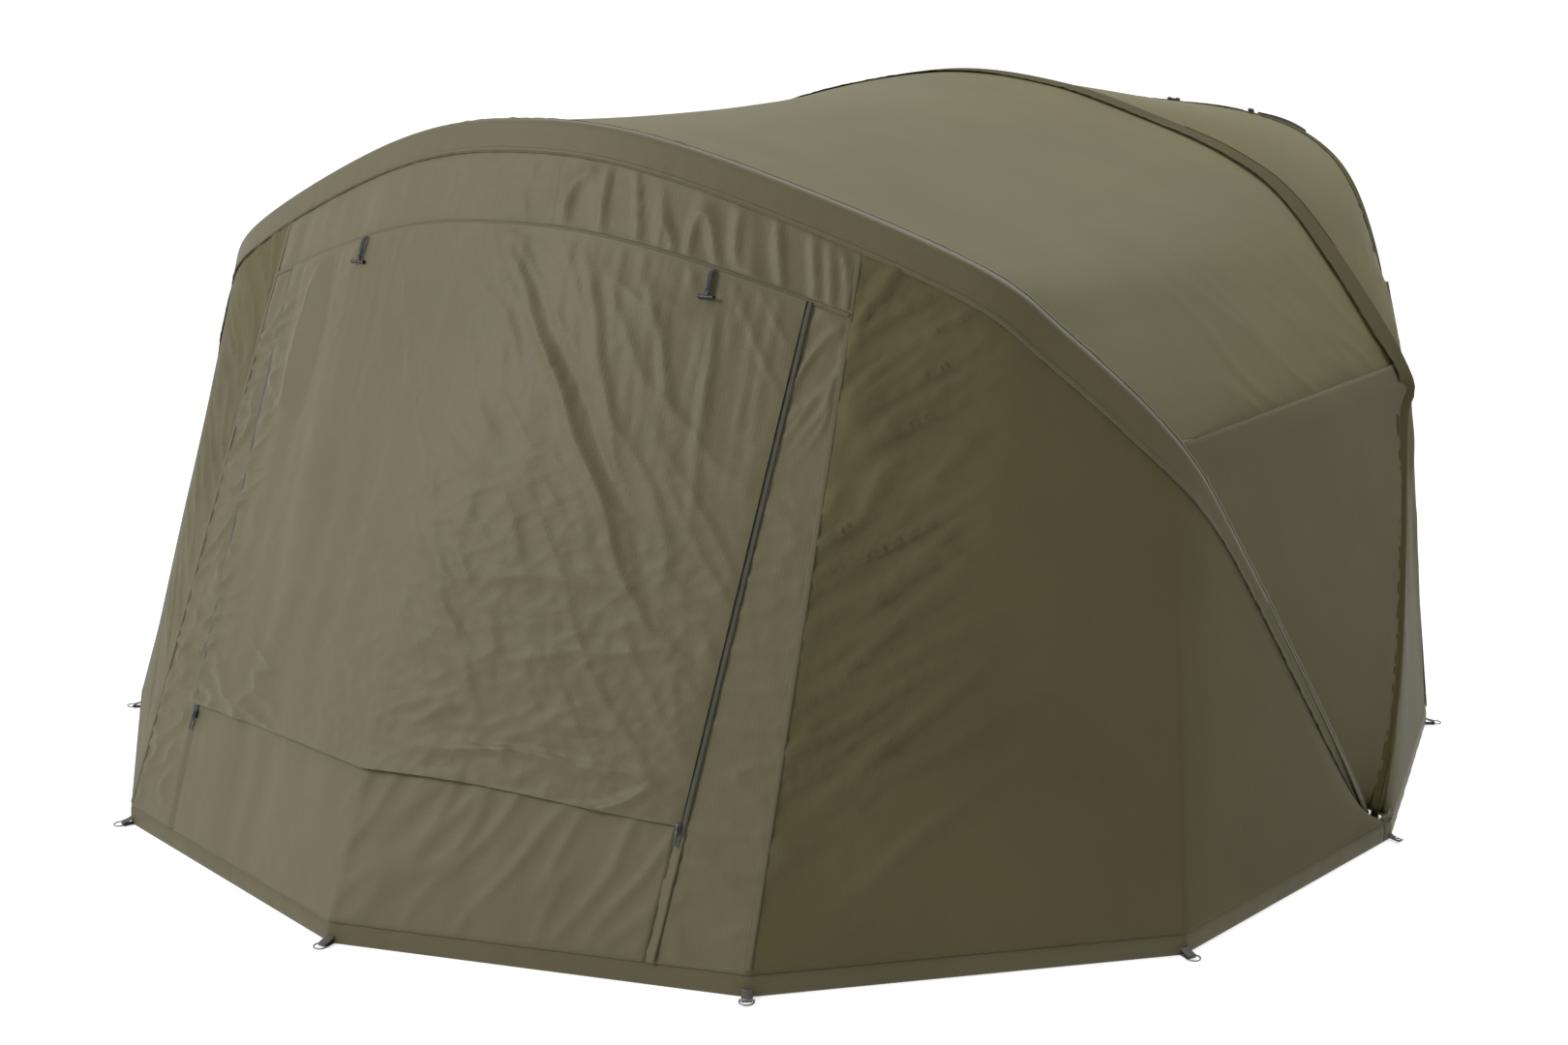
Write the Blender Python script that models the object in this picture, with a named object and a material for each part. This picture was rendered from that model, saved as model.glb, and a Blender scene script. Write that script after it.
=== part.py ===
"""Angler's dome bivvy: a fabric shell on three folding hoops that share one pivot line, as in a pram hood.

Metres, +Z up. X is across the shelter, the door faces -Y, and the pivot line lies over the X axis.
"""

import math

import bmesh
import bpy
from mathutils import Matrix, Vector

# Pivot line and hoops. An angle is measured up from the ground in front of the door.
HUB_HEIGHT = 0.030
FRONT_ANGLE = 59.0
MIDDLE_ANGLE = 125.8
REAR_ANGLE = 135.6
# Half of each pole, apex to foot: (distance from the centre line, distance from the pivot line).
FRONT_PROFILE = ((0, 1.608), (0.34, 1.555), (0.84, 1.34), (1.01, 1.185), (1.18, 0.955), (1.268, 0.695),
                 (1.385, 0.25), (1.445, 0))
MIDDLE_PROFILE = ((0, 1.82), (0.31, 1.772), (0.57, 1.68), (0.825, 1.567), (1.02, 1.413), (1.313, 1.038),
                  (1.345, 0.885), (1.441, 0.335), (1.465, 0))
REAR_PROFILE = ((0, 2.03), (0.44, 1.99), (0.70, 1.945), (0.88, 1.86), (1.02, 1.70), (1.155, 1.40),
                (1.19, 1.20), (1.30, 0.65), (1.425, 0))
FRONT_ELBOW, MIDDLE_ELBOW, REAR_ELBOW = 4, 5, 5  # which point of each profile is the elbow

# Ground corners of the right half, from the middle of the door round to the middle of the back.
CORNERS = ((0, -1.452), (0.746, -1.248), (1.32, -0.72), (1.5, 0), (1.398, 0.755), (0.746, 1.248), (0, 1.452))
FRONT_SEAM_X = 0.68  # where the seam between door panel and wing meets the front hoop

POLE_RADIUS = 0.008
SLEEVE_RADIUS = 0.0135
SLEEVE_WALL = 0.0015
POLE_STEPS = 22
SLEEVE_STEPS = 20  # how many of them the sleeve covers
FABRIC = 0.0015
HEM_HEIGHT = 0.040
HEM_THICKNESS = 0.002
EDGE_OUT, EDGE_SIDE = 0.006, 0.0145  # where a panel's edge lies beside the pole's centre
GAP = 0.0015

# Door panel, as shares of its width from the middle and of its height from the hoop.
DOOR_TOP, DOOR_FOOT = 0.125, 0.815
SILL_TOP = 0.77
ZIP_TOP, ZIP_FOOT = 0.90, 0.77
ZIP_HALF = 0.007
FLAP_OUT = 0.006

LUG_RADIUS, LUG_WIDTH, BOLT_RADIUS = 0.014, 0.014, 0.005
BAR_RADIUS = 0.007
PEG_RADIUS = 0.004
BLOCK_IN = 0.038  # from a pole's centre to the middle of the block inside it
WIRE = 0.0015
RING_HALF = 0.0125
RING_SIDE = 0.006
TAB_WIDTH, TAB_REACH, TAB_LOOP, TAB_BORE = 0.020, 0.018, 0.0045, 0.0023
TOGGLES = (("left", -0.345), ("right", 0.44))

HUB_INNER, HUB_OUTER, HUB_EAR, HUB_BASE = 1.400, 1.490, 0.008, 0.006
LUG_X = (HUB_INNER + HUB_OUTER) / 2
BOLT_PLAY = 0.0003
BRACKET_BLOCK = (0.020, 0.020, 0.024)
LEG_FOOT = 0.97  # how far down a pole the fabric beside it reaches, as a share of the pole
FLAP_EDGE = 0.016  # between the middle of a zip and the flap's edge, as a share of half the door panel

UP = Vector((0, 0, 1))
ACROSS = Vector((1, 0, 0))
SIDES = (("left", -1), ("right", 1))


def clear_scene():
    for obj in list(bpy.data.objects):
        bpy.data.objects.remove(obj, do_unlink=True)


def material(name, colour, roughness=0.85, metallic=0.0):
    made = bpy.data.materials.new(name)
    made.use_nodes = True
    shader = made.node_tree.nodes["Principled BSDF"]
    shader.inputs["Base Color"].default_value = (*colour, 1)
    shader.inputs["Roughness"].default_value = roughness
    shader.inputs["Metallic"].default_value = metallic
    return made


def add(name, mesh, finish):
    obj = bpy.data.objects.new(name, mesh)
    mesh.materials.clear()
    mesh.materials.append(finish)
    bpy.context.scene.collection.objects.link(obj)
    return obj


def move_origin(obj, point):
    """The object's origin goes to its joint, with its shape left in place."""
    obj.data.transform(Matrix.Translation(-Vector(point)))
    obj.location = point


# Curves

def smooth_curve(points, per_span=12):
    """A Catmull-Rom curve through plane points. It crosses the centre line square and runs out straight."""
    points = [Vector(p) for p in points]
    mirrored = Vector((-points[1].x, points[1].y))
    ends = [mirrored, *points, 2 * points[-1] - points[-2]]
    made = []
    for a, b, c, d in zip(ends, ends[1:], ends[2:], ends[3:]):
        for k in range(per_span):
            t = k / per_span
            made.append(0.5 * (2 * b + (c - a) * t + (2 * a - 5 * b + 4 * c - d) * t**2
                               + (3 * b - a - 3 * c + d) * t**3))
    return [*made, points[-1]]


def along(points, share):
    """The point this share of the way along a line of points."""
    lengths = [(q - p).length for p, q in zip(points, points[1:])]
    left = min(max(share, 0), 1) * sum(lengths)
    for p, q, length in zip(points, points[1:], lengths):
        if left <= length:
            return p.lerp(q, left / length)
        left -= length
    return points[-1].copy()


class Hoop:
    """One bent pole: its half profile in a plane that leans about the pivot line."""

    def __init__(self, profile, elbow, angle):
        self.curve = smooth_curve(profile)
        spans = [(q - p).length for p, q in zip(self.curve, self.curve[1:])]
        self.length = sum(spans)
        self.elbow = sum(spans[: elbow * 12]) / self.length
        lean = math.radians(angle)
        self.rise = Vector((0, -math.cos(lean), math.sin(lean)))
        self.forward = Vector((0, -math.sin(lean), -math.cos(lean)))

    def at(self, share, out=0.0, forward=0.0, side=1):
        """The point this share of the way from apex to foot, moved away from the pole and forwards."""
        here = along(self.curve, share)
        run = (along(self.curve, share + 0.01) - along(self.curve, share - 0.01)).normalized()
        if share <= 0:
            run = Vector((1, 0))
        here = here + Vector((-run.y, run.x)) * out
        place = self.rise * here.y + self.forward * forward + Vector((here.x, 0, HUB_HEIGHT))
        return Vector((place.x * side, place.y, place.z))

    def share_at_x(self, x):
        low, high = 0.0, self.elbow
        for _ in range(30):
            middle = (low + high) / 2
            low, high = (middle, high) if along(self.curve, middle).x < x else (low, middle)
        return low


FRONT = Hoop(FRONT_PROFILE, FRONT_ELBOW, FRONT_ANGLE)
MIDDLE = Hoop(MIDDLE_PROFILE, MIDDLE_ELBOW, MIDDLE_ANGLE)
REAR = Hoop(REAR_PROFILE, REAR_ELBOW, REAR_ANGLE)
SEAM_SHARE = FRONT.share_at_x(FRONT_SEAM_X)


def ground(first, last, share, side=1, height=HEM_HEIGHT + GAP):
    """A point on the ground outline between two corners, at the top of the hem."""
    line = [Vector((x, y, height)) for x, y in CORNERS[first:last + 1]]
    place = along(line, share)
    return Vector((place.x * side, place.y, place.z))


# Solids

def shell(name, place, us, vs, finish, thickness=FABRIC):
    """A fabric panel: a grid of place(u, v), given thickness."""
    bm = bmesh.new()
    grid = [[bm.verts.new(place(u, v)) for u in us] for v in vs]
    for row, below in zip(grid, grid[1:]):
        for a, b, c, d in zip(row, row[1:], below[1:], below):
            bm.faces.new((a, b, c, d))
    mesh = bpy.data.meshes.new(name)
    bm.to_mesh(mesh)
    bm.free()
    obj = add(name, mesh, finish)
    solid = obj.modifiers.new("Thickness", "SOLIDIFY")
    solid.thickness = thickness
    solid.offset = 0
    mesh.shade_smooth()
    return obj


def steps(start, end, count):
    return [start + (end - start) * k / count for k in range(count + 1)]


def ruled(top, bottom, sag=0.0, inset=0.002):
    """place(u, v) on straight lines from top(u) to bottom(u), sagging between them, clear of both ends."""
    def place(u, v):
        v = inset + (1 - 2 * inset) * v
        return top(u).lerp(bottom(u), v) - UP * sag * 4 * v * (1 - v)
    return place


def tube_mesh(name, points, radius, sides=8, closed=False, caps=True):
    curve = bpy.data.curves.new(name, "CURVE")
    curve.dimensions = "3D"
    spline = curve.splines.new("POLY")
    spline.points.add(len(points) - 1)
    for point, place in zip(spline.points, points):
        point.co = (*place, 1)
    spline.use_cyclic_u = closed
    curve.bevel_depth = radius
    curve.bevel_resolution = sides // 2 - 2
    curve.use_fill_caps = caps
    holder = bpy.data.objects.new(name, curve)
    bpy.context.scene.collection.objects.link(holder)
    bpy.context.view_layer.update()
    mesh = bpy.data.meshes.new_from_object(holder)
    bpy.data.objects.remove(holder, do_unlink=True)
    bpy.data.curves.remove(curve)
    mesh.name = name
    mesh.shade_smooth()
    return mesh


def block(bm, centre, size, turn=Matrix.Identity(3)):
    made = bmesh.ops.create_cube(bm, size=1)["verts"]
    scale = Matrix.Diagonal((*size, 1))
    bmesh.ops.transform(bm, matrix=Matrix.Translation(centre) @ turn.to_4x4() @ scale, verts=made)


def rod(bm, centre, axis, radius, length, sides=16):
    """A cylinder about a centre, lying along an axis."""
    made = bmesh.ops.create_cone(bm, cap_ends=True, segments=sides, radius1=radius, radius2=radius,
                                 depth=length)
    turn = Vector(axis).to_track_quat("Z", "Y").to_matrix().to_4x4()
    bmesh.ops.transform(bm, matrix=Matrix.Translation(centre) @ turn, verts=made["verts"])


def mesh_of(name, build):
    bm = bmesh.new()
    build(bm)
    mesh = bpy.data.meshes.new(name)
    bm.to_mesh(mesh)
    bm.free()
    return mesh


def combine(obj, build, operation="UNION"):
    """Joins to obj, or cuts from it, the shape that build makes."""
    name = f"{obj.name}_{operation.lower()}_{len(obj.modifiers)}"
    tool = add(name, mesh_of("tool", build), obj.data.materials[0])
    tool.hide_render = True
    tool.display_type = "WIRE"
    modifier = obj.modifiers.new(operation.title(), "BOOLEAN")
    modifier.operation = operation
    modifier.object = tool
    modifier.solver = "EXACT"


# Frame

def hub(name, side, finish):
    """Ground block with two ears, which hold the pivot bolt."""
    def base(bm):
        block(bm, (side * LUG_X, 0, HUB_BASE / 2), (HUB_OUTER - HUB_INNER, 0.056, HUB_BASE))

    def bore(bm):
        rod(bm, (side * LUG_X, 0, HUB_HEIGHT), ACROSS, BOLT_RADIUS + BOLT_PLAY, 0.12)

    obj = add(name, mesh_of(name, base), finish)
    height = HUB_HEIGHT + 0.016 - HUB_BASE / 2
    for x in (HUB_INNER + HUB_EAR / 2, HUB_OUTER - HUB_EAR / 2):
        centre = (side * x, 0, HUB_BASE / 2 + height / 2)
        combine(obj, lambda bm: block(bm, centre, (HUB_EAR, 0.028, height)))
    combine(obj, bore, "DIFFERENCE")


def pivot_bolt(name, side, finish):
    """Shaft with a head inside and a nut outside the hub's ears."""
    def shaft(bm):
        rod(bm, (side * (LUG_X - 0.0005), 0, HUB_HEIGHT), ACROSS, BOLT_RADIUS, 0.100)

    obj = add(name, mesh_of(name, shaft), finish)
    for x in (HUB_INNER - 0.003, HUB_OUTER + 0.003):
        combine(obj, lambda bm: rod(bm, (side * x, 0, HUB_HEIGHT), ACROSS, 0.009, 0.005, 6))


def half_pole(name, hoop, side, finish):
    """One side of a hoop, with a lug that turns on the pivot bolt."""
    shares = [0.001, *steps(0, 1, POLE_STEPS)[1:-1], 1 - 0.009 / hoop.length]
    obj = add(name, tube_mesh(name, [hoop.at(t, side=side) for t in shares], POLE_RADIUS), finish)
    foot = hoop.at(1, side=side)
    combine(obj, lambda bm: rod(bm, foot, ACROSS, LUG_RADIUS, LUG_WIDTH))
    combine(obj, lambda bm: rod(bm, foot, ACROSS, BOLT_RADIUS + BOLT_PLAY, 0.05), "DIFFERENCE")


def peak_joint(name, hoop, finish):
    """Ferrule over the two pole ends at the apex."""
    apex, reach = hoop.at(0), 0.3
    points = [apex.lerp(hoop.at(1 / POLE_STEPS, side=-1), reach), apex]
    points.append(apex.lerp(hoop.at(1 / POLE_STEPS), reach))
    obj = add(name, tube_mesh(name, points, POLE_RADIUS + 0.0023, caps=False), finish)
    wall = obj.modifiers.new("Wall", "SOLIDIFY")
    wall.thickness = 0.0016
    wall.offset = -1


def sleeve(name, hoop, reach, finish):
    """Fabric pocket round a pole."""
    numbers = range(-reach, reach + 1)
    points = [hoop.at(abs(k) / POLE_STEPS, side=math.copysign(1, k)) for k in numbers]
    obj = add(name, tube_mesh(name, points, SLEEVE_RADIUS, caps=False), finish)
    wall = obj.modifiers.new("Wall", "SOLIDIFY")
    wall.thickness = SLEEVE_WALL
    wall.offset = -1


def bar_ends(side):
    """Centres of a tension bar's pivot on the middle hoop and of its free end under the front hoop's peg."""
    back = MIDDLE.at(MIDDLE.elbow, side=side) - ACROSS * side * (BLOCK_IN + 0.0175)
    front = FRONT.at(FRONT.elbow, side=side) - ACROSS * side * (BLOCK_IN + 0.023)
    return back, front - UP * (PEG_RADIUS + BAR_RADIUS + 0.001) - Vector((0, 0.015, 0))


def bar_block(name, hoop, side, reach, length, finish):
    """Block inside a hoop's elbow. Its pin holds one end of a tension bar."""
    centre = hoop.at(hoop.elbow, side=side) - ACROSS * side * BLOCK_IN
    obj = add(name, mesh_of(name, lambda bm: block(bm, centre, BRACKET_BLOCK)), finish)
    combine(obj, lambda bm: rod(bm, centre - ACROSS * side * reach, ACROSS, PEG_RADIUS, length))


def tension_bar(name, side, finish):
    """Tube with an eye at the middle hoop. It holds the two hoops apart."""
    back, front = bar_ends(side)
    start = back.lerp(front, 0.008)
    obj = add(name, tube_mesh(name, [start, front], BAR_RADIUS), finish)
    combine(obj, lambda bm: rod(bm, back, ACROSS, 0.010, 0.009))
    combine(obj, lambda bm: rod(bm, back, ACROSS, PEG_RADIUS + 0.0004, 0.040), "DIFFERENCE")
    move_origin(obj, back)


# Fabric

def both_sides(hoop, limit, forward):
    """top(u) for a panel that crosses the centre line: u runs from -1 to 1 between two points of the hoop."""
    return lambda u: hoop.at(abs(u) * limit, EDGE_OUT, forward, math.copysign(1, u))


def ground_across(first, last):
    return lambda u: ground(first, last, abs(u), math.copysign(1, u))


def door_panel(u, v, out=0.0):
    """A point on the front panel: u across it from seam to seam, v from the hoop to the hem."""
    top = both_sides(FRONT, SEAM_SHARE, EDGE_SIDE)(u)
    return top.lerp(ground_across(0, 1)(u), v) + Vector((0, -0.93, 0.36)) * out


def zip_share(v):
    return ZIP_TOP + (ZIP_FOOT - ZIP_TOP) * v


def wing_rail(u, side):
    """The front hoop's edge of a wing: seam to elbow over half of u, then elbow to foot."""
    if u < 0.5:
        share = SEAM_SHARE + (FRONT.elbow - SEAM_SHARE) * u * 2
    else:
        share = FRONT.elbow + (LEG_FOOT - FRONT.elbow) * (u - 0.5) * 2
    return FRONT.at(share, EDGE_OUT, EDGE_SIDE, side)


def split_ground(first, u, side):
    """Ground outline over two edges, with the corner between them at u = 0.5."""
    if u < 0.5:
        return ground(first, first + 1, u * 2, side)
    return ground(first + 1, first + 2, u * 2 - 1, side)


def rear_rail(u, side):
    """Upper edge of a rear side: up the middle hoop's leg, then from its elbow to the rear hoop's elbow."""
    if u < 0.5:
        share = LEG_FOOT + (MIDDLE.elbow - LEG_FOOT) * u * 2
        return MIDDLE.at(share, EDGE_OUT, -EDGE_SIDE, side)
    start = MIDDLE.at(MIDDLE.elbow, EDGE_OUT, -EDGE_SIDE, side)
    return start.lerp(REAR.at(REAR.elbow, 0.024, 0, side), u * 2 - 1)


def front_fabric(olive, side_olive):
    """The wall under the front hoop: wings, valance, strips beside the door, sill and door flap."""
    edge = 0.003
    for word, side in SIDES:
        shell(f"wing_{word}", ruled(lambda u: wing_rail(u, side), lambda u: split_ground(1, u, side)),
              steps(edge, 0.5, 8) + steps(0.5, 0.965, 6)[1:], steps(0, 1, 6), side_olive)

        def strip(u, v):
            v = DOOR_TOP + edge + (1 - edge - DOOR_TOP - edge) * v
            inner = zip_share(v) + FLAP_EDGE
            return door_panel(side * (inner + (0.998 - inner) * u), v)

        shell(f"door_strip_{word}", strip, steps(0, 1, 2), steps(0, 1, 10), olive)
    shell("valance", lambda u, v: door_panel(u, 0.004 + (DOOR_TOP - 0.007) * v),
          steps(-0.998, 0, 8) + steps(0, 0.998, 8)[1:], steps(0, 1, 3), olive)
    shell("sill", lambda u, v: door_panel(u * (zip_share(v) - FLAP_EDGE), v),
          steps(-1, 0, 6) + steps(0, 1, 6)[1:], steps(SILL_TOP, 0.998, 3), olive)
    flap = shell("door_flap", lambda u, v: door_panel(u * (zip_share(v) - FLAP_EDGE), v, FLAP_OUT),
                 steps(-1, 0, 6) + steps(0, 1, 6)[1:], steps(DOOR_TOP + 0.004, DOOR_FOOT, 8), olive)
    move_origin(flap, door_hinge())


def door_hinge():
    return door_panel(0, DOOR_TOP, FLAP_OUT)


def roof_fabric(light, side_olive):
    """Panels between the hoops."""
    across = steps(-0.997, 0, 12) + steps(0, 0.997, 12)[1:]
    front = ruled(both_sides(FRONT, FRONT.elbow, -EDGE_SIDE),
                  both_sides(MIDDLE, MIDDLE.elbow, EDGE_SIDE), 0.035)
    rear = ruled(both_sides(MIDDLE, MIDDLE.elbow, -EDGE_SIDE),
                 both_sides(REAR, REAR.elbow, EDGE_SIDE), 0, 0.01)
    shell("front_roof", front, across, steps(0, 1, 8), light)
    shell("rear_roof", rear, across, steps(0, 1, 3), light)
    for word, side in SIDES:
        def front_leg(u):
            share = FRONT.elbow + (LEG_FOOT - FRONT.elbow) * u
            return FRONT.at(share, EDGE_OUT, -EDGE_SIDE, side)

        def middle_leg(u):
            share = MIDDLE.elbow + (LEG_FOOT - MIDDLE.elbow) * u
            return MIDDLE.at(share, EDGE_OUT, EDGE_SIDE, side)

        shell(f"side_panel_{word}", ruled(front_leg, middle_leg), steps(0.004, 0.965, 8),
              steps(0, 1, 5), side_olive)


def rear_fabric(side_olive, back_olive):
    for word, side in SIDES:
        place = ruled(lambda u: rear_rail(u, side), lambda u: split_ground(3, u, side), 0, 0.004)
        shell(f"rear_side_{word}", place, steps(0.05, 0.5, 5) + steps(0.5, 0.994, 4)[1:],
              steps(0, 1, 6), side_olive)
    shell("back_wall", ruled(both_sides(REAR, REAR.elbow, -EDGE_SIDE),
                             lambda u: ground(5, 6, 1 - abs(u), math.copysign(1, u)), 0, 0.004),
          steps(-0.996, 0, 9) + steps(0, 0.996, 9)[1:], steps(0, 1, 5), back_olive)


# Ground edge

def mirrored_point(point):
    return Vector((-point.x, point.y))


def corner_way(index):
    """Direction away from the shelter at a right-hand ground corner."""
    outline = [Vector(p) for p in CORNERS]
    outline = [mirrored_point(outline[1]), *outline, mirrored_point(outline[-2])]
    before, here, after = outline[index:index + 3]
    run = ((here - before).normalized() + (after - here).normalized()).normalized()
    return Vector((run.y, -run.x, 0))


def mirrored(vector, side):
    return Vector((vector.x * side, vector.y, vector.z))


def tab_frame(index, side):
    """Centre of a tab's loop, the way out and the way along the hem."""
    out = mirrored(corner_way(index), side)
    centre = Vector((CORNERS[index][0] * side, CORNERS[index][1], TAB_LOOP)) + out * TAB_REACH
    return centre, out, out.cross(UP)


def hem(name, line, tabs, finish):
    """Band along the ground with a webbing tab at each corner. Each tab ends in a loop for a ring."""
    def place(u, v):
        return Vector((*line[u], v))

    obj = shell(name, place, range(len(line)), (0, HEM_HEIGHT), finish, HEM_THICKNESS)
    obj.modifiers["Thickness"].use_even_offset = True

    def straps(bm):
        for index, side in tabs:
            centre, out, run = tab_frame(index, side)
            turn = Matrix((out, run, UP)).transposed()
            size = (TAB_REACH + 0.0006, TAB_WIDTH - 0.001, 0.003)
            block(bm, centre - out * size[0] / 2, size, turn)

    def loops(bm):
        for index, side in tabs:
            centre, out, run = tab_frame(index, side)
            rod(bm, centre, run, TAB_LOOP, TAB_WIDTH, 12)

    def bores(bm):
        for index, side in tabs:
            centre, out, run = tab_frame(index, side)
            rod(bm, centre, run, TAB_BORE, TAB_WIDTH + 0.01, 12)

    combine(obj, straps)
    combine(obj, loops)
    combine(obj, bores, "DIFFERENCE")


def ground_line(first, last):
    return [Vector(p) for p in CORNERS[first:last + 1]]


def hems(webbing):
    wrap = 0.028  # the rear hem covers the foot corner this far forward
    foot = Vector(CORNERS[3])
    forward = (Vector(CORNERS[2]) - foot).normalized()
    right = [*ground_line(0, 2), foot + forward * (wrap + 0.005)]
    left = [mirrored_point(p) for p in reversed(right[1:])]
    tabs = [(0, 1), *((i, s) for i in (1, 2) for s in (-1, 1))]
    hem("front_hem", left + right, tabs, webbing)
    right = [foot + forward * wrap, *ground_line(3, 6)]
    left = [mirrored_point(p) for p in reversed(right[:-1])]
    tabs = [(6, 1), *((i, s) for i in (3, 4, 5) for s in (-1, 1))]
    hem("rear_hem", right + left, tabs, webbing)


def d_ring(name, index, side, steel):
    """Wire ring: a straight bar in the tab's loop and a round end outside it."""
    centre, out, run = tab_frame(index, side)
    points = [centre + run * RING_HALF, centre - run * RING_HALF]
    for k in range(9):
        turn = math.pi * k / 8
        reach = RING_SIDE + RING_HALF * math.sin(turn)
        points.append(centre + out * reach - run * RING_HALF * math.cos(turn))
    obj = add(name, tube_mesh(name, points, WIRE, 6, closed=True), steel)
    move_origin(obj, centre)


# Zips, toggles and the strap on the rear hoop

def wall_frame(u, v, out):
    """A place on the door panel and the turn that puts X across it, Y up it and Z out of it."""
    here = door_panel(u, v, out)
    across = (door_panel(u + 0.01, v) - door_panel(u - 0.01, v)).normalized()
    up = (door_panel(u, v - 0.01) - door_panel(u, v)).normalized()
    normal = across.cross(up).normalized()
    return here, Matrix((across, normal.cross(across), normal)).transposed()


def zips(black, steel):
    for word, side in SIDES:
        def band(u, v):
            middle = door_panel(side * zip_share(v), v)
            return middle + ACROSS * u * ZIP_HALF

        shell(f"zip_{word}", band, (-1, 1), steps(DOOR_TOP + 0.004, 0.996, 10), black, 0.002)
        foot = 0.83
        here, turn = wall_frame(side * zip_share(foot), foot, 0.005)
        normal = turn @ UP
        body = add(f"zip_slider_{word}", mesh_of("slider", lambda bm: block(
            bm, here, (0.012, 0.016, 0.004), turn)), steel)
        puller = here + normal * 0.0025 - turn @ Vector((0, 0.018, 0))
        combine(body, lambda bm: block(bm, puller, (0.006, 0.030, 0.002), turn))
        move_origin(body, here)


def toggle_hinge(x):
    """The point on the door's top seam where a toggle's loop is sewn in."""
    return door_panel(x / (FRONT_SEAM_X + 0.01), DOOR_TOP + 0.012, FLAP_OUT + 0.010)


def toggles(black, elastic):
    """T-shaped toggles, each on an elastic loop that hangs from the door's top seam."""
    for word, x in TOGGLES:
        top = toggle_hinge(x)
        across = x / (FRONT_SEAM_X + 0.01)
        down = (door_panel(across, 0.6) - door_panel(across, 0.2)).normalized()
        half = 0.004
        points = [top + ACROSS * half, top + ACROSS * half + down * 0.022, top + down * 0.026,
                  top - ACROSS * half + down * 0.022, top - ACROSS * half]
        loop = add(f"toggle_loop_{word}", tube_mesh("loop", points, 0.0012, 6), elastic)
        bar = top + down * 0.040
        mesh = mesh_of("toggle", lambda bm: rod(bm, bar, ACROSS, 0.004, 0.032, 12))
        toggle = add(f"toggle_{word}", mesh, black)
        combine(toggle, lambda bm: rod(bm, bar - down * 0.006, down, 0.003, 0.011, 8))
        for obj in (loop, toggle):
            obj.data.shade_smooth()
        move_origin(loop, door_hinge())
        move_origin(toggle, top)


def rear_strap(black, olive):
    """Buckle, thin strap and webbing loop over the rear hoop's sleeve."""
    def over_hoop(t, width, lift):
        return REAR.at(t, SLEEVE_RADIUS + lift, width)

    lift = 0.0022
    shell("rear_strap", lambda u, v: over_hoop(u, v, lift),
          steps(0.178, 0.232, 5), (-0.005, 0.005), black, 0.0012)
    shell("rear_webbing", lambda u, v: over_hoop(u, v, lift), steps(0.250, 0.300, 5), (-0.010, 0.010), olive)
    for name, share, length in (("rear_buckle", 0.162, 0.036), ("rear_keeper", 0.241, 0.016)):
        here = REAR.at(share, SLEEVE_RADIUS + 0.0055)
        run = (REAR.at(share + 0.01) - REAR.at(share - 0.01)).normalized()
        out = (here - REAR.at(share)).normalized()
        turn = Matrix((run, out.cross(run), out)).transposed()
        add(name, mesh_of(name, lambda bm: block(bm, here, (length, 0.020, 0.008), turn)), black)


def set_pivot_origins():
    """What turns on the pivot line gets its origin there. The other moving pieces already have theirs."""
    pair = [f"{name}_{word}" for name in ("wing", "door_strip", "zip", "bar_peg", "front_pole", "rear_pole")
            for word, _ in SIDES]
    single = ["front_peak_joint", "front_sleeve", "valance", "sill", "front_hem", "rear_peak_joint",
              "rear_sleeve", "rear_strap", "rear_webbing", "rear_buckle", "rear_keeper"]
    for name in pair + single:
        move_origin(bpy.data.objects[name], (0, 0, HUB_HEIGHT))


def build():
    clear_scene()
    olive = material("olive_front", (0.15, 0.135, 0.085))
    side_olive = material("olive_side", (0.105, 0.092, 0.05))
    light = material("olive_roof", (0.2, 0.18, 0.12))
    sleeve_olive = material("olive_sleeve", (0.12, 0.105, 0.06))
    webbing = material("webbing", (0.08, 0.075, 0.045))
    tube = material("pole", (0.05, 0.05, 0.05), 0.35, 1.0)
    steel = material("steel", (0.55, 0.55, 0.56), 0.3, 1.0)
    nylon = material("nylon", (0.02, 0.02, 0.02), 0.5)

    rear_reach = int(REAR.elbow * POLE_STEPS)
    hoops = (("front", FRONT, SLEEVE_STEPS), ("middle", MIDDLE, SLEEVE_STEPS), ("rear", REAR, rear_reach))
    for word, hoop, reach in hoops:
        sleeve(f"{word}_sleeve", hoop, reach, sleeve_olive)
        peak_joint(f"{word}_peak_joint", hoop, steel)
        for side_word, side in SIDES:
            half_pole(f"{word}_pole_{side_word}", hoop, side, tube)
    for word, side in SIDES:
        hub(f"hub_{word}", side, nylon)
        pivot_bolt(f"pivot_bolt_{word}", side, steel)
        bar_block(f"bar_bracket_{word}", MIDDLE, side, 0.0155, 0.020, nylon)
        bar_block(f"bar_peg_{word}", FRONT, side, 0.0195, 0.030, nylon)
        tension_bar(f"tension_bar_{word}", side, tube)
    front_fabric(olive, side_olive)
    roof_fabric(light, side_olive)
    rear_fabric(side_olive, olive)
    hems(webbing)
    d_ring("ring_front_middle", 0, 1, steel)
    d_ring("ring_back_middle", 6, 1, steel)
    for word, side in SIDES:
        for place, index in (("door_seam", 1), ("wing", 2), ("rear_side", 4), ("back_seam", 5)):
            d_ring(f"ring_{place}_{word}", index, side, steel)
    zips(nylon, steel)
    toggles(nylon, nylon)
    rear_strap(nylon, webbing)
    set_pivot_origins()


build()
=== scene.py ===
"""The looks of an angler's dome bivvy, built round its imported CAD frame. Metres, the same frame as the CAD."""

import math

import bmesh
import bpy
import numpy as np
from mathutils import Matrix, Vector


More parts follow.
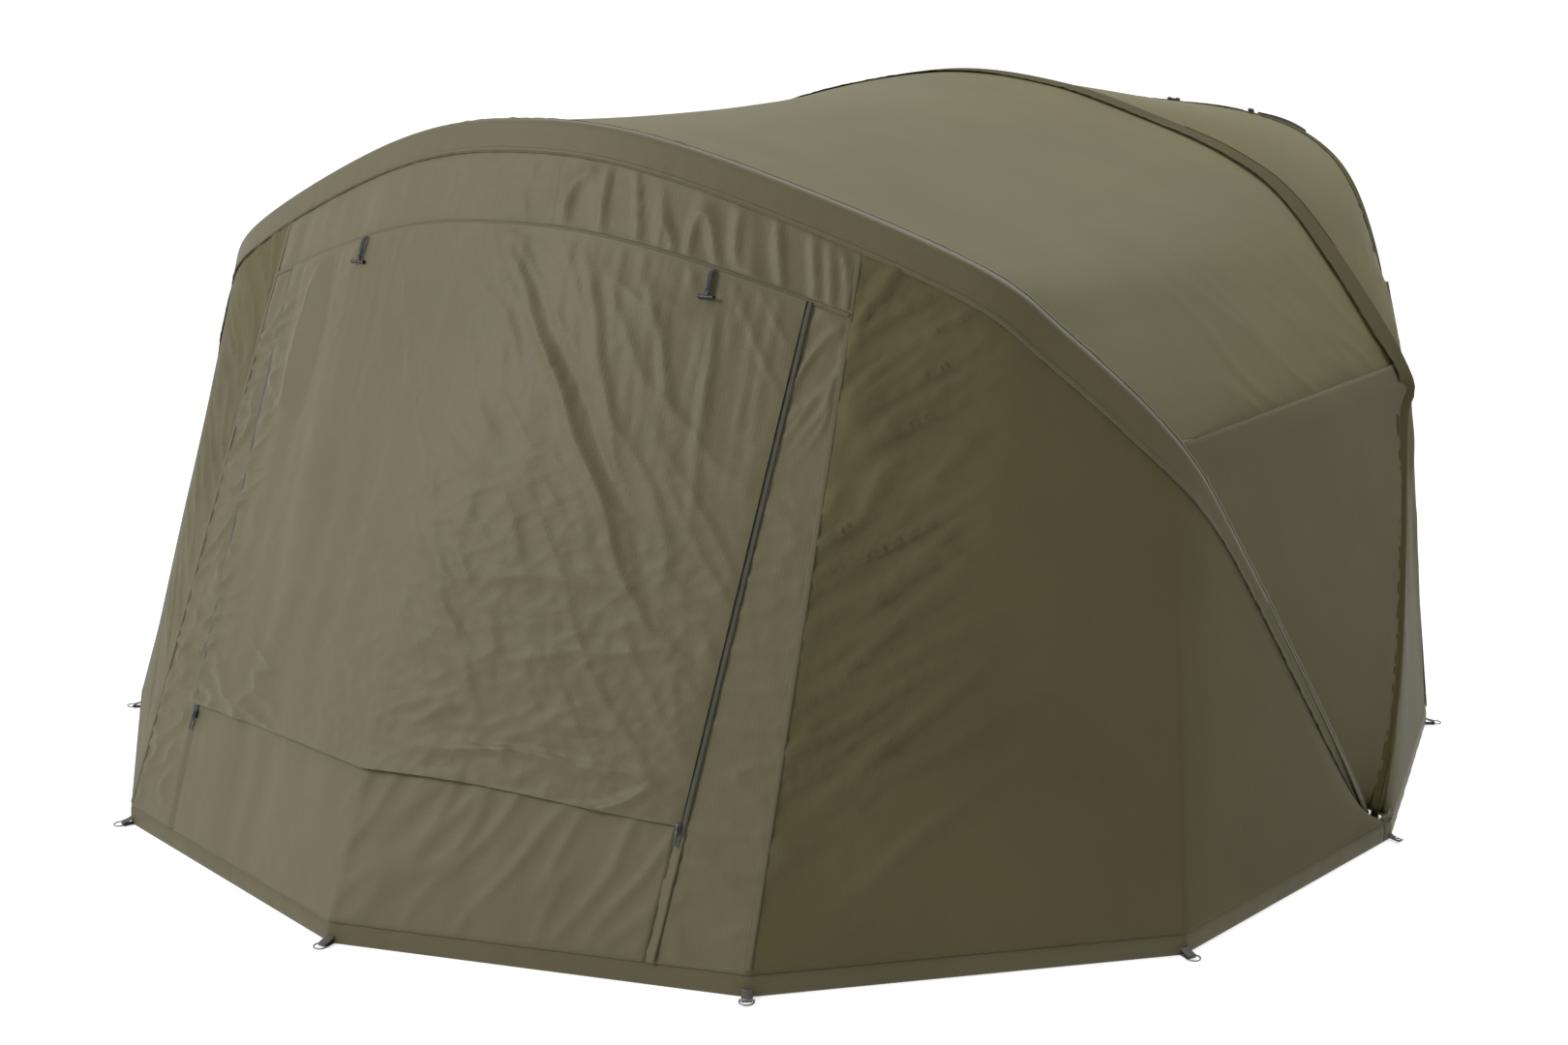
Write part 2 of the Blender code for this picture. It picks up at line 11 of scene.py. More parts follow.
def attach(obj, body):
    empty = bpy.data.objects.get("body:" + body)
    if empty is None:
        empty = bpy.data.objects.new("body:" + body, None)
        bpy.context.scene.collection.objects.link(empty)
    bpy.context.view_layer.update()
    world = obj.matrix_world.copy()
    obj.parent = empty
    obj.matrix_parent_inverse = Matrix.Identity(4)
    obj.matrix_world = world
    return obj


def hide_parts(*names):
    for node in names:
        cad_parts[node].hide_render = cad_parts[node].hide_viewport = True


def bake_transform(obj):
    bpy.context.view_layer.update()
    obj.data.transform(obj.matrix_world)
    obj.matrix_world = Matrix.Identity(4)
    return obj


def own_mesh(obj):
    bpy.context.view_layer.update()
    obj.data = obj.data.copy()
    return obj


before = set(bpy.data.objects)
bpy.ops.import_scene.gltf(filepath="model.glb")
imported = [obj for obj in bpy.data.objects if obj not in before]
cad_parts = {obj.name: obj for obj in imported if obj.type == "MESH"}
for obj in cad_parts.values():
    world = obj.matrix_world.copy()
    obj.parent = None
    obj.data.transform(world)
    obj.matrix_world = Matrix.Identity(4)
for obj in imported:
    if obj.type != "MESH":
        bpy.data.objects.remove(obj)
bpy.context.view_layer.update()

# The hoops and the ground outline, as in part.py.
HUB_HEIGHT = 0.030
FRONT_PROFILE = ((0, 1.608), (0.34, 1.555), (0.84, 1.34), (1.01, 1.185), (1.18, 0.955), (1.268, 0.695),
                 (1.385, 0.25), (1.445, 0))
MIDDLE_PROFILE = ((0, 1.82), (0.31, 1.772), (0.57, 1.68), (0.825, 1.567), (1.02, 1.413), (1.313, 1.038),
                  (1.345, 0.885), (1.441, 0.335), (1.465, 0))
REAR_PROFILE = ((0, 2.03), (0.44, 1.99), (0.70, 1.945), (0.88, 1.86), (1.02, 1.70), (1.155, 1.40),
                (1.19, 1.20), (1.30, 0.65), (1.425, 0))
CORNERS = ((0, -1.452), (0.746, -1.248), (1.32, -0.72), (1.5, 0), (1.398, 0.755), (0.746, 1.248), (0, 1.452))
FRONT_SEAM_X = 0.68
EDGE_OUT, EDGE_SIDE = 0.006, 0.0145
HEM_TOP = 0.040
DOOR_TOP, DOOR_FOOT, SILL_TOP = 0.125, 0.815, 0.77
ZIP_TOP, ZIP_FOOT, ZIP_GAP = 0.90, 0.77, 0.0045
SLIDER_AT = 0.83  # how far down the wall the sliders rest
FLAP_OVER = 0.004  # how far the door reaches over the zips, as a share
FLAP_OUT = 0.006
TOGGLES = (("left", -0.345), ("right", 0.44))
RING_HALF, RING_SIDE, WIRE = 0.0125, 0.006, 0.0015
TAB_REACH, TAB_LOOP = 0.018, 0.0045

LEG_END = 0.993  # how far down a leg the cloth reaches, as a share of the half hoop
CLOTH = 0.0012  # thickness of the fabric as it is shown
BAND_RADIUS = 0.0150  # fabric round a pole
LEAST_FLAP = 0.021  # a sleeve covers the edges of the panels beside it
SIDES = (("left", -1), ("right", 1))
UP = np.array((0.0, 0.0, 1.0))
INSIDE = np.array((0.0, 0.0, 0.6))  # a place in the shelter, which tells the outside of a panel


# Numbers

def smooth(low, high, x):
    """0 below low, 1 above high and a smooth step between."""
    t = np.clip((x - low) / (high - low), 0, 1)
    return t * t * (3 - 2 * t)


def window(x, low, high, soft):
    """1 between low and high, falling to 0 over soft outside them."""
    return smooth(low - soft, low, x) * (1 - smooth(high, high + soft, x))


def unit(v):
    return v / np.maximum(np.linalg.norm(v, axis=-1, keepdims=True), 1e-12)


def mix(a, b, t):
    return a + (b - a) * np.asarray(t)[..., None]


def noise(x, y, seed):
    """Gradient noise, about -1 to 1, with features 1 apart."""
    xi, yi = np.floor(x), np.floor(y)
    fx, fy = x - xi, y - yi

    def corner(dx, dy):
        h = (xi + dx) * 127.1 + (yi + dy) * 311.7 + seed * 74.7
        turn = (np.sin(h) * 43758.5453 % 1) * 2 * math.pi
        return np.cos(turn) * (fx - dx) + np.sin(turn) * (fy - dy)

    sx, sy = (f * f * f * (f * (f * 6 - 15) + 10) for f in (fx, fy))
    low = corner(0, 0) * (1 - sx) + corner(1, 0) * sx
    high = corner(0, 1) * (1 - sx) + corner(1, 1) * sx
    return 1.5 * (low * (1 - sy) + high * sy)


def turned(x, y, degrees, along, across, seed):
    """x, y laid along a direction and scaled to a fold's length and width, then bent a little."""
    a = math.radians(degrees)
    p = (x * math.cos(a) + y * math.sin(a)) / along
    q = (y * math.cos(a) - x * math.sin(a)) / across
    return p, q + 0.25 * noise(x / 0.22, y / 0.22, seed + 50)


def soft_folds(x, y, degrees, along, across, seed):
    return noise(*turned(x, y, degrees, along, across, seed), seed)


def sharp_folds(x, y, degrees, along, across, seed):
    """Narrow crests with broad hollows between them, from 0 to 1."""
    n = noise(*turned(x, y, degrees, along, across, seed), seed)
    return np.clip(1 - 2.4 * np.abs(n), 0, 1) ** 1.9


def crests(x, y, degrees, along, across, seed, floor, height):
    """Sharp folds in metres. What is under the floor, a share, sinks below the cloth."""
    return (sharp_folds(x, y, degrees, along, across, seed) - floor) * height


def crinkle(x, y, size, seed):
    """Short creases in all directions, such as packed fabric keeps."""
    total = 0
    for k, degrees in enumerate((20, 75, 130, 165)):
        total = total + sharp_folds(x, y, degrees, size * 2.2, size, seed + k)
    return total / 2 - 0.45


def crease(x, y, start, end, width, bend=0.02, seed=0):
    """One long fold from start to end, 1 at its middle line and fading at its ends."""
    run = np.array(end, float) - np.array(start, float)
    length = np.linalg.norm(run)
    run = run / length
    p = (x - start[0]) * run[0] + (y - start[1]) * run[1]
    q = (y - start[1]) * run[0] - (x - start[0]) * run[1]
    q = q + 0.55 * bend * noise(p / 0.18, p * 0 + seed, seed)
    ends = np.clip(p / length, 0, 1) * np.clip(1 - p / length, 0, 1) * 4
    return np.exp(-np.abs(q / width) ** 1.3) * np.sqrt(np.clip(ends, 0, 1))


# Curves of the frame

PER_SPAN = 24  # points that a hoop's curve has for each span of its profile


def smooth_curve(points):
    """A Catmull-Rom curve through the points, mirrored about its first one."""
    points = np.array(points, float)
    ends = np.vstack([points[1] * (-1, 1), points, 2 * points[-1] - points[-2]])
    made = []
    for a, b, c, d in zip(ends, ends[1:], ends[2:], ends[3:]):
        for k in range(PER_SPAN):
            t = k / PER_SPAN
            made.append(0.5 * (2 * b + (c - a) * t + (2 * a - 5 * b + 4 * c - d) * t**2
                               + (3 * b - a - 3 * c + d) * t**3))
    return np.array([*made, points[-1]])


class Hoop:
    """One bent pole: its half profile in a plane that leans about the pivot line."""

    def __init__(self, profile, elbow, angle):
        self.curve = smooth_curve(profile)
        spans = np.linalg.norm(np.diff(self.curve, axis=0), axis=1)
        self.length = spans.sum()
        self.shares = np.concatenate([[0], np.cumsum(spans)]) / self.length
        self.elbow = self.shares[elbow * PER_SPAN]
        lean = math.radians(angle)
        self.rise = np.array((0, -math.cos(lean), math.sin(lean)))
        self.forward = np.array((0, -math.sin(lean), -math.cos(lean)))

    def flat(self, share):
        share = np.clip(share, 0, 1)
        return np.stack([np.interp(share, self.shares, self.curve[:, k]) for k in (0, 1)], -1)

    def frame(self, share, side):
        """Centre of the pole, the way along it and the way out of the hoop, for the side's half."""
        share, side = np.broadcast_arrays(np.asarray(share, float), np.asarray(side, float))
        run = unit(self.flat(share + 0.01) - self.flat(share - 0.01))
        run = np.where(share[..., None] <= 0, (1.0, 0.0), run)
        here = self.flat(share)
        turn = np.stack([side, np.ones_like(side), np.ones_like(side)], -1)
        centre = (here[..., 1:] * self.rise + here[..., :1] * (1, 0, 0) + (0, 0, HUB_HEIGHT)) * turn
        along = (run[..., 1:] * self.rise + run[..., :1] * (1, 0, 0)) * turn
        out = (run[..., :1] * self.rise - run[..., 1:] * (1, 0, 0)) * turn
        return centre, along, out

    def at(self, share, out=0.0, forward=0.0, side=1.0):
        centre, _, outwards = self.frame(share, side)
        out = np.asarray(out, float)
        return centre + outwards * (out[..., None] if out.ndim else out) + self.forward * forward


FRONT = Hoop(FRONT_PROFILE, 4, 59.0)
MIDDLE = Hoop(MIDDLE_PROFILE, 5, 125.8)
REAR = Hoop(REAR_PROFILE, 5, 135.6)
ABOVE_ELBOW = slice(0, 4 * PER_SPAN + 1)
SEAM_SHARE = float(np.interp(FRONT_SEAM_X, FRONT.curve[ABOVE_ELBOW, 0], FRONT.shares[ABOVE_ELBOW]))


def ground(first, last, share, side=1.0):
    """A point on the ground outline between two corners, at the top of the hem."""
    line = np.array(CORNERS[first:last + 1], float)
    spans = np.linalg.norm(np.diff(line, axis=0), axis=1)
    reach = np.concatenate([[0], np.cumsum(spans)]) / spans.sum()
    share, side = np.broadcast_arrays(np.asarray(share, float), np.asarray(side, float))
    x, y = (np.interp(share, reach, line[:, k]) for k in (0, 1))
    return np.stack([x * side, y, np.full_like(x, HEM_TOP)], -1)


def sign(u):
    return np.where(np.asarray(u) < 0, -1.0, 1.0)


def door_panel(u, v, out=0.0):
    """A point on the front panel: u across it from seam to seam, v from the hoop to the hem."""
    top = FRONT.at(np.abs(u) * SEAM_SHARE, EDGE_OUT, EDGE_SIDE, sign(u))
    return mix(top, ground(0, 1, np.abs(u), sign(u)), v) + np.array((0, -0.93, 0.36)) * out


def zip_share(v):
    return ZIP_TOP + (ZIP_FOOT - ZIP_TOP) * v


def wing_panel(u, v, side):
    share = np.where(u < 0.5, SEAM_SHARE + (FRONT.elbow - SEAM_SHARE) * u * 2,
                     FRONT.elbow + (LEG_END - FRONT.elbow) * (u - 0.5) * 2)
    low = np.where(np.asarray(u)[..., None] < 0.5, ground(1, 2, np.clip(u * 2, 0, 1), side),
                   ground(2, 3, np.clip(u * 2 - 1, 0, 1), side))
    return mix(FRONT.at(share, EDGE_OUT, EDGE_SIDE, side), low, v)


def roof_panel(u, v):
    """Front roof, v from the front hoop to the middle hoop. Taut cloth between two arches sags a little."""
    a = FRONT.at(np.abs(u) * FRONT.elbow, EDGE_OUT, -EDGE_SIDE, sign(u))
    b = MIDDLE.at(np.abs(u) * MIDDLE.elbow, EDGE_OUT, EDGE_SIDE, sign(u))
    return mix(a, b, v) - UP * (0.035 * 4 * v * (1 - v))[..., None]


def side_panel(u, v, side):
    a = FRONT.at(FRONT.elbow + (LEG_END - FRONT.elbow) * u, EDGE_OUT, -EDGE_SIDE, side)
    b = MIDDLE.at(MIDDLE.elbow + (LEG_END - MIDDLE.elbow) * u, EDGE_OUT, EDGE_SIDE, side)
    return mix(a, b, v)


def rear_roof_panel(u, v):
    a = MIDDLE.at(np.abs(u) * MIDDLE.elbow, EDGE_OUT, -EDGE_SIDE, sign(u))
    b = REAR.at(np.abs(u) * REAR.elbow, EDGE_OUT, EDGE_SIDE, sign(u))
    return mix(a, b, v)


def rear_side_panel(u, v, side):
    leg = MIDDLE.at(LEG_END + (MIDDLE.elbow - LEG_END) * np.clip(u * 2, 0, 1), EDGE_OUT, -EDGE_SIDE, side)
    elbow = MIDDLE.at(np.full_like(u, MIDDLE.elbow), EDGE_OUT, -EDGE_SIDE, side)
    corner = REAR.at(np.full_like(u, REAR.elbow), 0.024, 0, side)
    top = np.where(np.asarray(u)[..., None] < 0.5, leg, mix(elbow, corner, np.clip(u * 2 - 1, 0, 1)))
    low = np.where(np.asarray(u)[..., None] < 0.5, ground(3, 4, np.clip(u * 2, 0, 1), side),
                   ground(4, 5, np.clip(u * 2 - 1, 0, 1), side))
    return mix(top, low, v)


def back_panel(u, v):
    top = REAR.at(np.abs(u) * REAR.elbow, EDGE_OUT, -EDGE_SIDE, sign(u))
    return mix(top, ground(5, 6, 1 - np.abs(u), sign(u)), v)


# Materials

RIPSTOP, STITCH = 0.007, 0.005  # from one thick thread to the next, and from one stitch to the next
STITCH_ROW = 0.0030  # how far a row of stitches is from the middle of its seam


def nodes_of(name, roughness, metallic=0.0):
    """A new material with its node tree and its Principled node."""
    made = bpy.data.materials.new(name)
    made.use_nodes = True
    tree = made.node_tree
    shader = tree.nodes["Principled BSDF"]
    shader.inputs["Metallic"].default_value = metallic
    shader.inputs["Roughness"].default_value = roughness
    return made, tree, shader


def node(tree, kind, **inputs):
    """A node with its inputs set or linked. An input is called by its name, or by i and its number."""
    made = tree.nodes.new(kind)
    for name, value in inputs.items():
        key = int(name[1:]) if name[0] == "i" and name[1:].isdigit() else name.replace("_", " ")
        if hasattr(value, "is_output"):
            tree.links.new(value, made.inputs[key])
        else:
            made.inputs[key].default_value = value
    return made


def maths(tree, operation, a, b=0.0, c=0.0):
    made = node(tree, "ShaderNodeMath", i0=a, i1=b, i2=c)
    made.operation = operation
    return made.outputs[0]


def noise_node(tree, vector, scale, detail=3.0):
    return node(tree, "ShaderNodeTexNoise", Vector=vector, Scale=scale, Detail=detail).outputs[0]


def tinted(tree, factor, dark, light):
    ramp = node(tree, "ShaderNodeValToRGB", Fac=factor)
    ramp.color_ramp.elements[0].color = (*dark, 1)
    ramp.color_ramp.elements[1].color = (*light, 1)
    ramp.color_ramp.elements[0].position = 0.25
    ramp.color_ramp.elements[1].position = 0.75
    return ramp.outputs[0]


def bump_normal(tree, shader, height, strength, distance):
    bump = node(tree, "ShaderNodeBump", Strength=strength, Distance=distance, Height=height)
    tree.links.new(bump.outputs[0], shader.inputs["Normal"])


def scaled(colour, factor):
    return tuple(c * factor for c in colour)


def weave_height(tree, uv):
    """Height of a ripstop weave: a thicker thread each RIPSTOP, both ways."""
    parts = node(tree, "ShaderNodeSeparateXYZ", Vector=uv)
    total = None
    for axis in (0, 1):
        thread = maths(tree, "SINE", maths(tree, "MULTIPLY", parts.outputs[axis], 2 * math.pi / RIPSTOP))
        rib = maths(tree, "POWER", maths(tree, "MAXIMUM", thread, 0.0), 6.0)
        total = rib if total is None else maths(tree, "MAXIMUM", total, rib)
    return total


def fabric(name, colour, roughness=0.55, weave=0.35, stitched=False, gloss=0.35, sheen=0.06):
    """Proofed nylon: ripstop weave, faint mottling, creases too fine for the mesh and a low sheen."""
    made, tree, shader = nodes_of(name, roughness)
    uv = node(tree, "ShaderNodeUVMap").outputs[0]
    place = node(tree, "ShaderNodeTexCoord").outputs["Object"]
    ribs = weave_height(tree, uv)
    mottle = noise_node(tree, place, 3.0, 4.0)
    grain = noise_node(tree, uv, 900.0, 2.0)
    tone = maths(tree, "ADD", mottle, maths(tree, "MULTIPLY_ADD", grain, 0.24, -0.12))
    tone = maths(tree, "ADD", tone, maths(tree, "MULTIPLY", ribs, weave * 0.3))
    base = tinted(tree, tone, scaled(colour, 0.90), scaled(colour, 1.10))
    creases = maths(tree, "MULTIPLY", noise_node(tree, place, 55.0, 5.0), 1.1)
    height = maths(tree, "MULTIPLY_ADD", ribs, weave, creases)
    if stitched:
        parts = node(tree, "ShaderNodeSeparateXYZ", Vector=uv)
        wave = maths(tree, "SINE", maths(tree, "MULTIPLY", parts.outputs[0], 2 * math.pi / STITCH))
        dash = maths(tree, "GREATER_THAN", wave, -0.35)
        off_row = maths(tree, "SUBTRACT", maths(tree, "ABSOLUTE", parts.outputs[1]), STITCH_ROW)
        row = maths(tree, "LESS_THAN", maths(tree, "ABSOLUTE", off_row), 0.0006)
        stitch = maths(tree, "MULTIPLY", dash, row)
        mixer = node(tree, "ShaderNodeMix")
        mixer.data_type = "RGBA"
        tree.links.new(stitch, mixer.inputs[0])
        tree.links.new(base, mixer.inputs[6])
        mixer.inputs[7].default_value = (*scaled(colour, 0.62), 1)
        base = mixer.outputs[2]
        height = maths(tree, "MULTIPLY_ADD", stitch, 0.8, height)
    tree.links.new(base, shader.inputs["Base Color"])
    bump_normal(tree, shader, height, 0.35, 0.0010)
    shader.inputs["Sheen Weight"].default_value = sheen
    shader.inputs["Sheen Roughness"].default_value = 0.4
    shader.inputs["Specular IOR Level"].default_value = gloss
    return made


def webbing_finish(name, colour):
    """Woven tape: a twill of short diagonal floats, darker between them."""
    made, tree, shader = nodes_of(name, 0.8)
    uv = node(tree, "ShaderNodeUVMap").outputs[0]
    parts = node(tree, "ShaderNodeSeparateXYZ", Vector=uv)
    diagonal = maths(tree, "ADD", parts.outputs[0], maths(tree, "ABSOLUTE", parts.outputs[1]))
    twill = maths(tree, "SINE", maths(tree, "MULTIPLY", diagonal, 2 * math.pi / 0.0022))
    tone = maths(tree, "MULTIPLY_ADD", twill, 0.3, 0.5)
    tree.links.new(tinted(tree, tone, scaled(colour, 0.7), scaled(colour, 1.25)), shader.inputs["Base Color"])
    bump_normal(tree, shader, twill, 0.6, 0.0006)
    shader.inputs["Sheen Weight"].default_value = 0.2
    return made


def hard_finish(name, dark, light, roughness, metallic=0.0):
    """Metal or plastic with fine mottling, worn patches of gloss and a slight grain."""
    made, tree, shader = nodes_of(name, roughness, metallic)
    place = node(tree, "ShaderNodeTexCoord").outputs["Object"]
    patches = noise_node(tree, place, 60.0, 4.0)
    tree.links.new(tinted(tree, patches, dark, light), shader.inputs["Base Color"])
    spread = maths(tree, "MULTIPLY_ADD", patches, 0.25, roughness - 0.12)
    tree.links.new(spread, shader.inputs["Roughness"])
    bump_normal(tree, shader, noise_node(tree, place, 840.0, 2.0), 0.3, 0.0002)
    return made


OLIVE = (0.087, 0.076, 0.036)
FRONT_CLOTH = fabric("front_cloth", OLIVE)
# The wings, side panels and rear sides get the front olive darkened to 0.93. This is painted shade on the same cloth.
SHADED_WING_CLOTH = fabric("wing_cloth", scaled(OLIVE, 0.93), 0.65, gloss=0.10, sheen=0.03)
ROOF_CLOTH = fabric("roof_cloth", (0.092, 0.082, 0.030), 0.65, weave=0.2, gloss=0.12)
SLEEVE_CLOTH = fabric("sleeve_cloth", (0.080, 0.069, 0.032), 0.6)
DARK_SLEEVE = fabric("dark_sleeve_cloth", (0.058, 0.050, 0.019), 0.75, gloss=0.08, sheen=0.0)
SEAM_CLOTH = fabric("seam_cloth", scaled(OLIVE, 0.95), 0.62, stitched=True)
HEM_CLOTH = fabric("hem_cloth", scaled(OLIVE, 0.92), 0.6, gloss=0.25)
TAPE = webbing_finish("zip_tape", (0.050, 0.045, 0.028))
WEBBING = webbing_finish("webbing", (0.060, 0.058, 0.045))
BLACK_STRAP = webbing_finish("black_strap", (0.012, 0.012, 0.012))
COIL = hard_finish("zip_coil", (0.008, 0.008, 0.007), (0.016, 0.016, 0.014), 0.4)
NYLON = hard_finish("nylon", (0.010, 0.010, 0.010), (0.020, 0.020, 0.019), 0.42)
RING_STEEL = hard_finish("ring_steel", (0.16, 0.16, 0.155), (0.24, 0.24, 0.235), 0.35, 1.0)
GUNMETAL = hard_finish("gunmetal", (0.05, 0.05, 0.05), (0.09, 0.09, 0.088), 0.42, 1.0)
STEEL = hard_finish("steel", (0.42, 0.42, 0.42), (0.62, 0.62, 0.60), 0.3, 1.0)
POLE = hard_finish("pole", (0.02, 0.02, 0.02), (0.035, 0.035, 0.034), 0.4, 0.6)


# Meshes

def placed(name, data):
    """An object in the scene for a mesh, a light or a camera."""
    obj = bpy.data.objects.new(name, data)
    bpy.context.scene.collection.objects.link(obj)
    return obj


def mesh_of(name, bm):
    """A mesh from the bmesh, which is freed."""
    mesh = bpy.data.meshes.new(name)
    bm.to_mesh(mesh)
    bm.free()
    return mesh


def grid_object(name, points, finish, uv, thickness=CLOTH, outward=None, normals=None):
    """A sheet on a grid of points, with its own metres as UV, and the thickness of the cloth inside it.

    Given the points' normals, it is shaded by them, so that it runs on smoothly into the next sheet.
    """
    rows, columns = points.shape[:2]
    number = np.arange(rows * columns).reshape(rows, columns)
    corners = np.stack([number[:-1, :-1], number[:-1, 1:], number[1:, 1:], number[1:, :-1]], -1).reshape(-1, 4)
    if normals is not None:
        rim = np.concatenate([number[0], number[1:, -1], number[-1, -2::-1], number[-2:0:-1, 0]])
        ahead, inner = np.roll(rim, -1), number.size
        sides = np.stack([ahead, rim, rim + inner, ahead + inner], -1)
        corners = np.concatenate([corners, corners[:, ::-1] + inner, sides])
        points = np.stack([points, points - normals * thickness])
        normals, uv = np.stack([normals, -normals]), np.stack([uv, uv])
    if outward is not None and outward < 0:
        corners = corners[:, ::-1]
    mesh = bpy.data.meshes.new(name)
    mesh.from_pydata(points.reshape(-1, 3).tolist(), [], corners.tolist())
    layer = mesh.uv_layers.new(name="UVMap")
    layer.data.foreach_set("uv", uv.reshape(-1, 2)[corners.reshape(-1)].astype(np.float32).ravel())
    mesh.shade_smooth()
    mesh.materials.append(finish)
    obj = placed(name, mesh)
    if normals is not None:
        mesh.normals_split_custom_set_from_vertices(normals.reshape(-1, 3).tolist())
    elif thickness:
        solid = obj.modifiers.new("Cloth", "SOLIDIFY")
        solid.thickness = thickness
        solid.offset = -1
        solid.use_rim = True
    return obj


class Panel:
    """A fabric panel at rest: its grid, outward normals, and its own metres across and down."""

    def __init__(self, place, us, vs):
        self.u, self.v = np.meshgrid(np.asarray(us, float), np.asarray(vs, float))
        self.points = place(self.u, self.v)
        across, down = np.gradient(self.points, axis=1), np.gradient(self.points, axis=0)
        self.normals = unit(np.cross(across, down))
        self.outward = 1 if ((self.points - INSIDE) * self.normals).sum() > 0 else -1
        self.normals = self.normals * self.outward
        step = np.linalg.norm(np.diff(self.points, axis=1), axis=2)
        self.s = np.concatenate([np.zeros((len(vs), 1)), np.cumsum(step, axis=1)], axis=1)
        self.s = self.s - self.s[:, [len(us) // 2]]
        step = np.linalg.norm(np.diff(self.points, axis=0), axis=2)
        self.t = np.concatenate([np.zeros((1, len(us))), np.cumsum(step, axis=0)], axis=0)
        self.x, self.z = self.points[..., 0], self.points[..., 2]

    def edge(self, left=True, right=True, top=True, bottom=True, soft=0.02):
        """0 on the chosen edges and 1 beyond soft from them."""
        total = np.ones_like(self.u)
        for use, away in ((left, self.s - self.s[:, :1]), (right, self.s[:, -1:] - self.s),
                          (top, self.t), (bottom, self.t[-1:] - self.t)):
            if use:
                total = total * smooth(0, soft, away)
        return total

    def make(self, name, finish, relief=0.0, replaces=()):
        """The panel as a sheet, raised by relief along its normals."""
        points = self.points + self.normals * np.broadcast_to(relief, self.u.shape)[..., None]
        obj = grid_object(name, points, finish, np.stack([self.s, self.t], -1), outward=self.outward)
        if replaces:
            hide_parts(*replaces)
        width, height = float(np.ptp(self.s, axis=1).max()), float(np.ptp(self.t, axis=0).max())
        return obj


def fold(obj, share):
    """Takes a share per point, 0 with one body and 1 with the other. It lays the shares in the points for a moment,
    then puts the points back and leaves the object at the identity transform.
    """
    mesh = obj.data
    kept = np.empty(len(mesh.vertices) * 3, np.float32)
    mesh.vertices.foreach_get("co", kept)
    laid = np.zeros((len(mesh.vertices), 3), np.float32)
    laid[:, 0] = np.asarray(share, float).reshape(-1)
    mesh.vertices.foreach_set("co", laid.ravel())
    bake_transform(obj)
    mesh.vertices.foreach_set("co", kept)
    mesh.update()
    return obj


def lean_of(points):
    """Degrees up from the ground in front, about the pivot line."""
    return np.degrees(np.arctan2(points[..., 2] - HUB_HEIGHT, -points[..., 1]))


def wall_share(points):
    """How far a place on the front wall goes with the hem rather than with the front hoop."""
    return np.clip((50 - lean_of(points)) / 47, 0, 1)


def fold_wall(obj, points):
    return fold(obj, wall_share(points))


def fold_roof(obj, points):
    return fold(obj, np.clip((lean_of(points) - 61) / (124 - 61), 0, 1))


def fold_rear(obj, share):
    return fold(obj, share)


def spaced(start, end, step):
    """Evenly spaced from start to end, about a step apart."""
    return np.linspace(start, end, max(2, int(round(abs(end - start) / step)) + 1))


def halves(limit, count):
    """Evenly spaced from -limit to limit with a point at the middle."""
    return np.linspace(-limit, limit, 2 * count + 1)


# Front wall

def puckers(s, away, seed, pitch=0.016, depth=0.0016, reach=0.022):
    """Small ripples that a row of stitches draws into the cloth beside it."""
    return noise(s / pitch, s * 0 + 0.5, seed) * depth * np.exp(-np.abs(away) / reach)


def make_valance():
    p = Panel(door_panel, halves(1, 90), spaced(0, DOOR_TOP, 0.0045))
    x, t = p.x, p.t
    left = window(x, -0.70, 0.10, 0.12) * soft_folds(p.s, -t, 88, 0.35, 0.052, 3) * 0.0042
    pleats = sharp_folds(p.s, -t, 101, 0.26, 0.060, 5) - 0.30
    right = window(x, 0.10, 0.75, 0.10) * pleats * 0.0085
    middle = window(x, -0.12, 0.14, 0.06) * crests(p.s, -t, 90, 0.3, 0.03, 8, 0.3, 0.003)
    depth = smooth(0.040, 0.075, t) * (1 - 0.45 * smooth(0.13, 0.19, t))
    relief = (left + right + middle) * depth + crinkle(p.s, t, 0.05, 21) * 0.0007
    relief = relief * p.edge(soft=0.012) + puckers(p.s, t - p.t[-1:], 4)
    obj = p.make("valance_cloth", FRONT_CLOTH, relief, ["valance"])
    fold_wall(obj, p.points)


def make_strip(word, side):
    """The strip beside the door. It starts outside the zip, and under the sill's side seam below it."""
    def place(u, v):
        inner = zip_share(v) + ZIP_GAP
        return door_panel(side * (inner + (1 - inner) * u), v)

    p = Panel(place, np.linspace(0, 1, 24), spaced(DOOR_TOP, 1, 0.006))
    away = np.abs(p.s - p.s[:, :1])
    t = p.t
    if side > 0:
        top = crests(p.s, -t, 62, 0.24, 0.042, 31, 0.3, 0.0075) * (1 - smooth(0.10, 0.30, t))
        rest = crests(p.s, -t, 14, 0.16, 0.06, 33, 0.25, 0.0026) * smooth(0.15, 0.35, t)
    else:
        top = crests(p.s, -t, 100, 0.24, 0.05, 35, 0.3, 0.004) * (1 - smooth(0.06, 0.16, t))
        rest = crests(p.s, -t, -12, 0.10, 0.046, 37, 0.35, 0.0085) * smooth(0.05, 0.15, t)
        rest = rest * (1 - 0.6 * smooth(0.85, 1.15, t))
    relief = (top + rest + crinkle(p.s, t, 0.045, 41) * 0.0007) * p.edge(soft=0.016)
    relief = relief + puckers(t, away, 43, 0.013, 0.0016) * p.edge(left=False, soft=0.01)
    obj = p.make(f"door_strip_cloth_{word}", FRONT_CLOTH, relief, [f"door_strip_{word}"])
    fold_wall(obj, p.points)


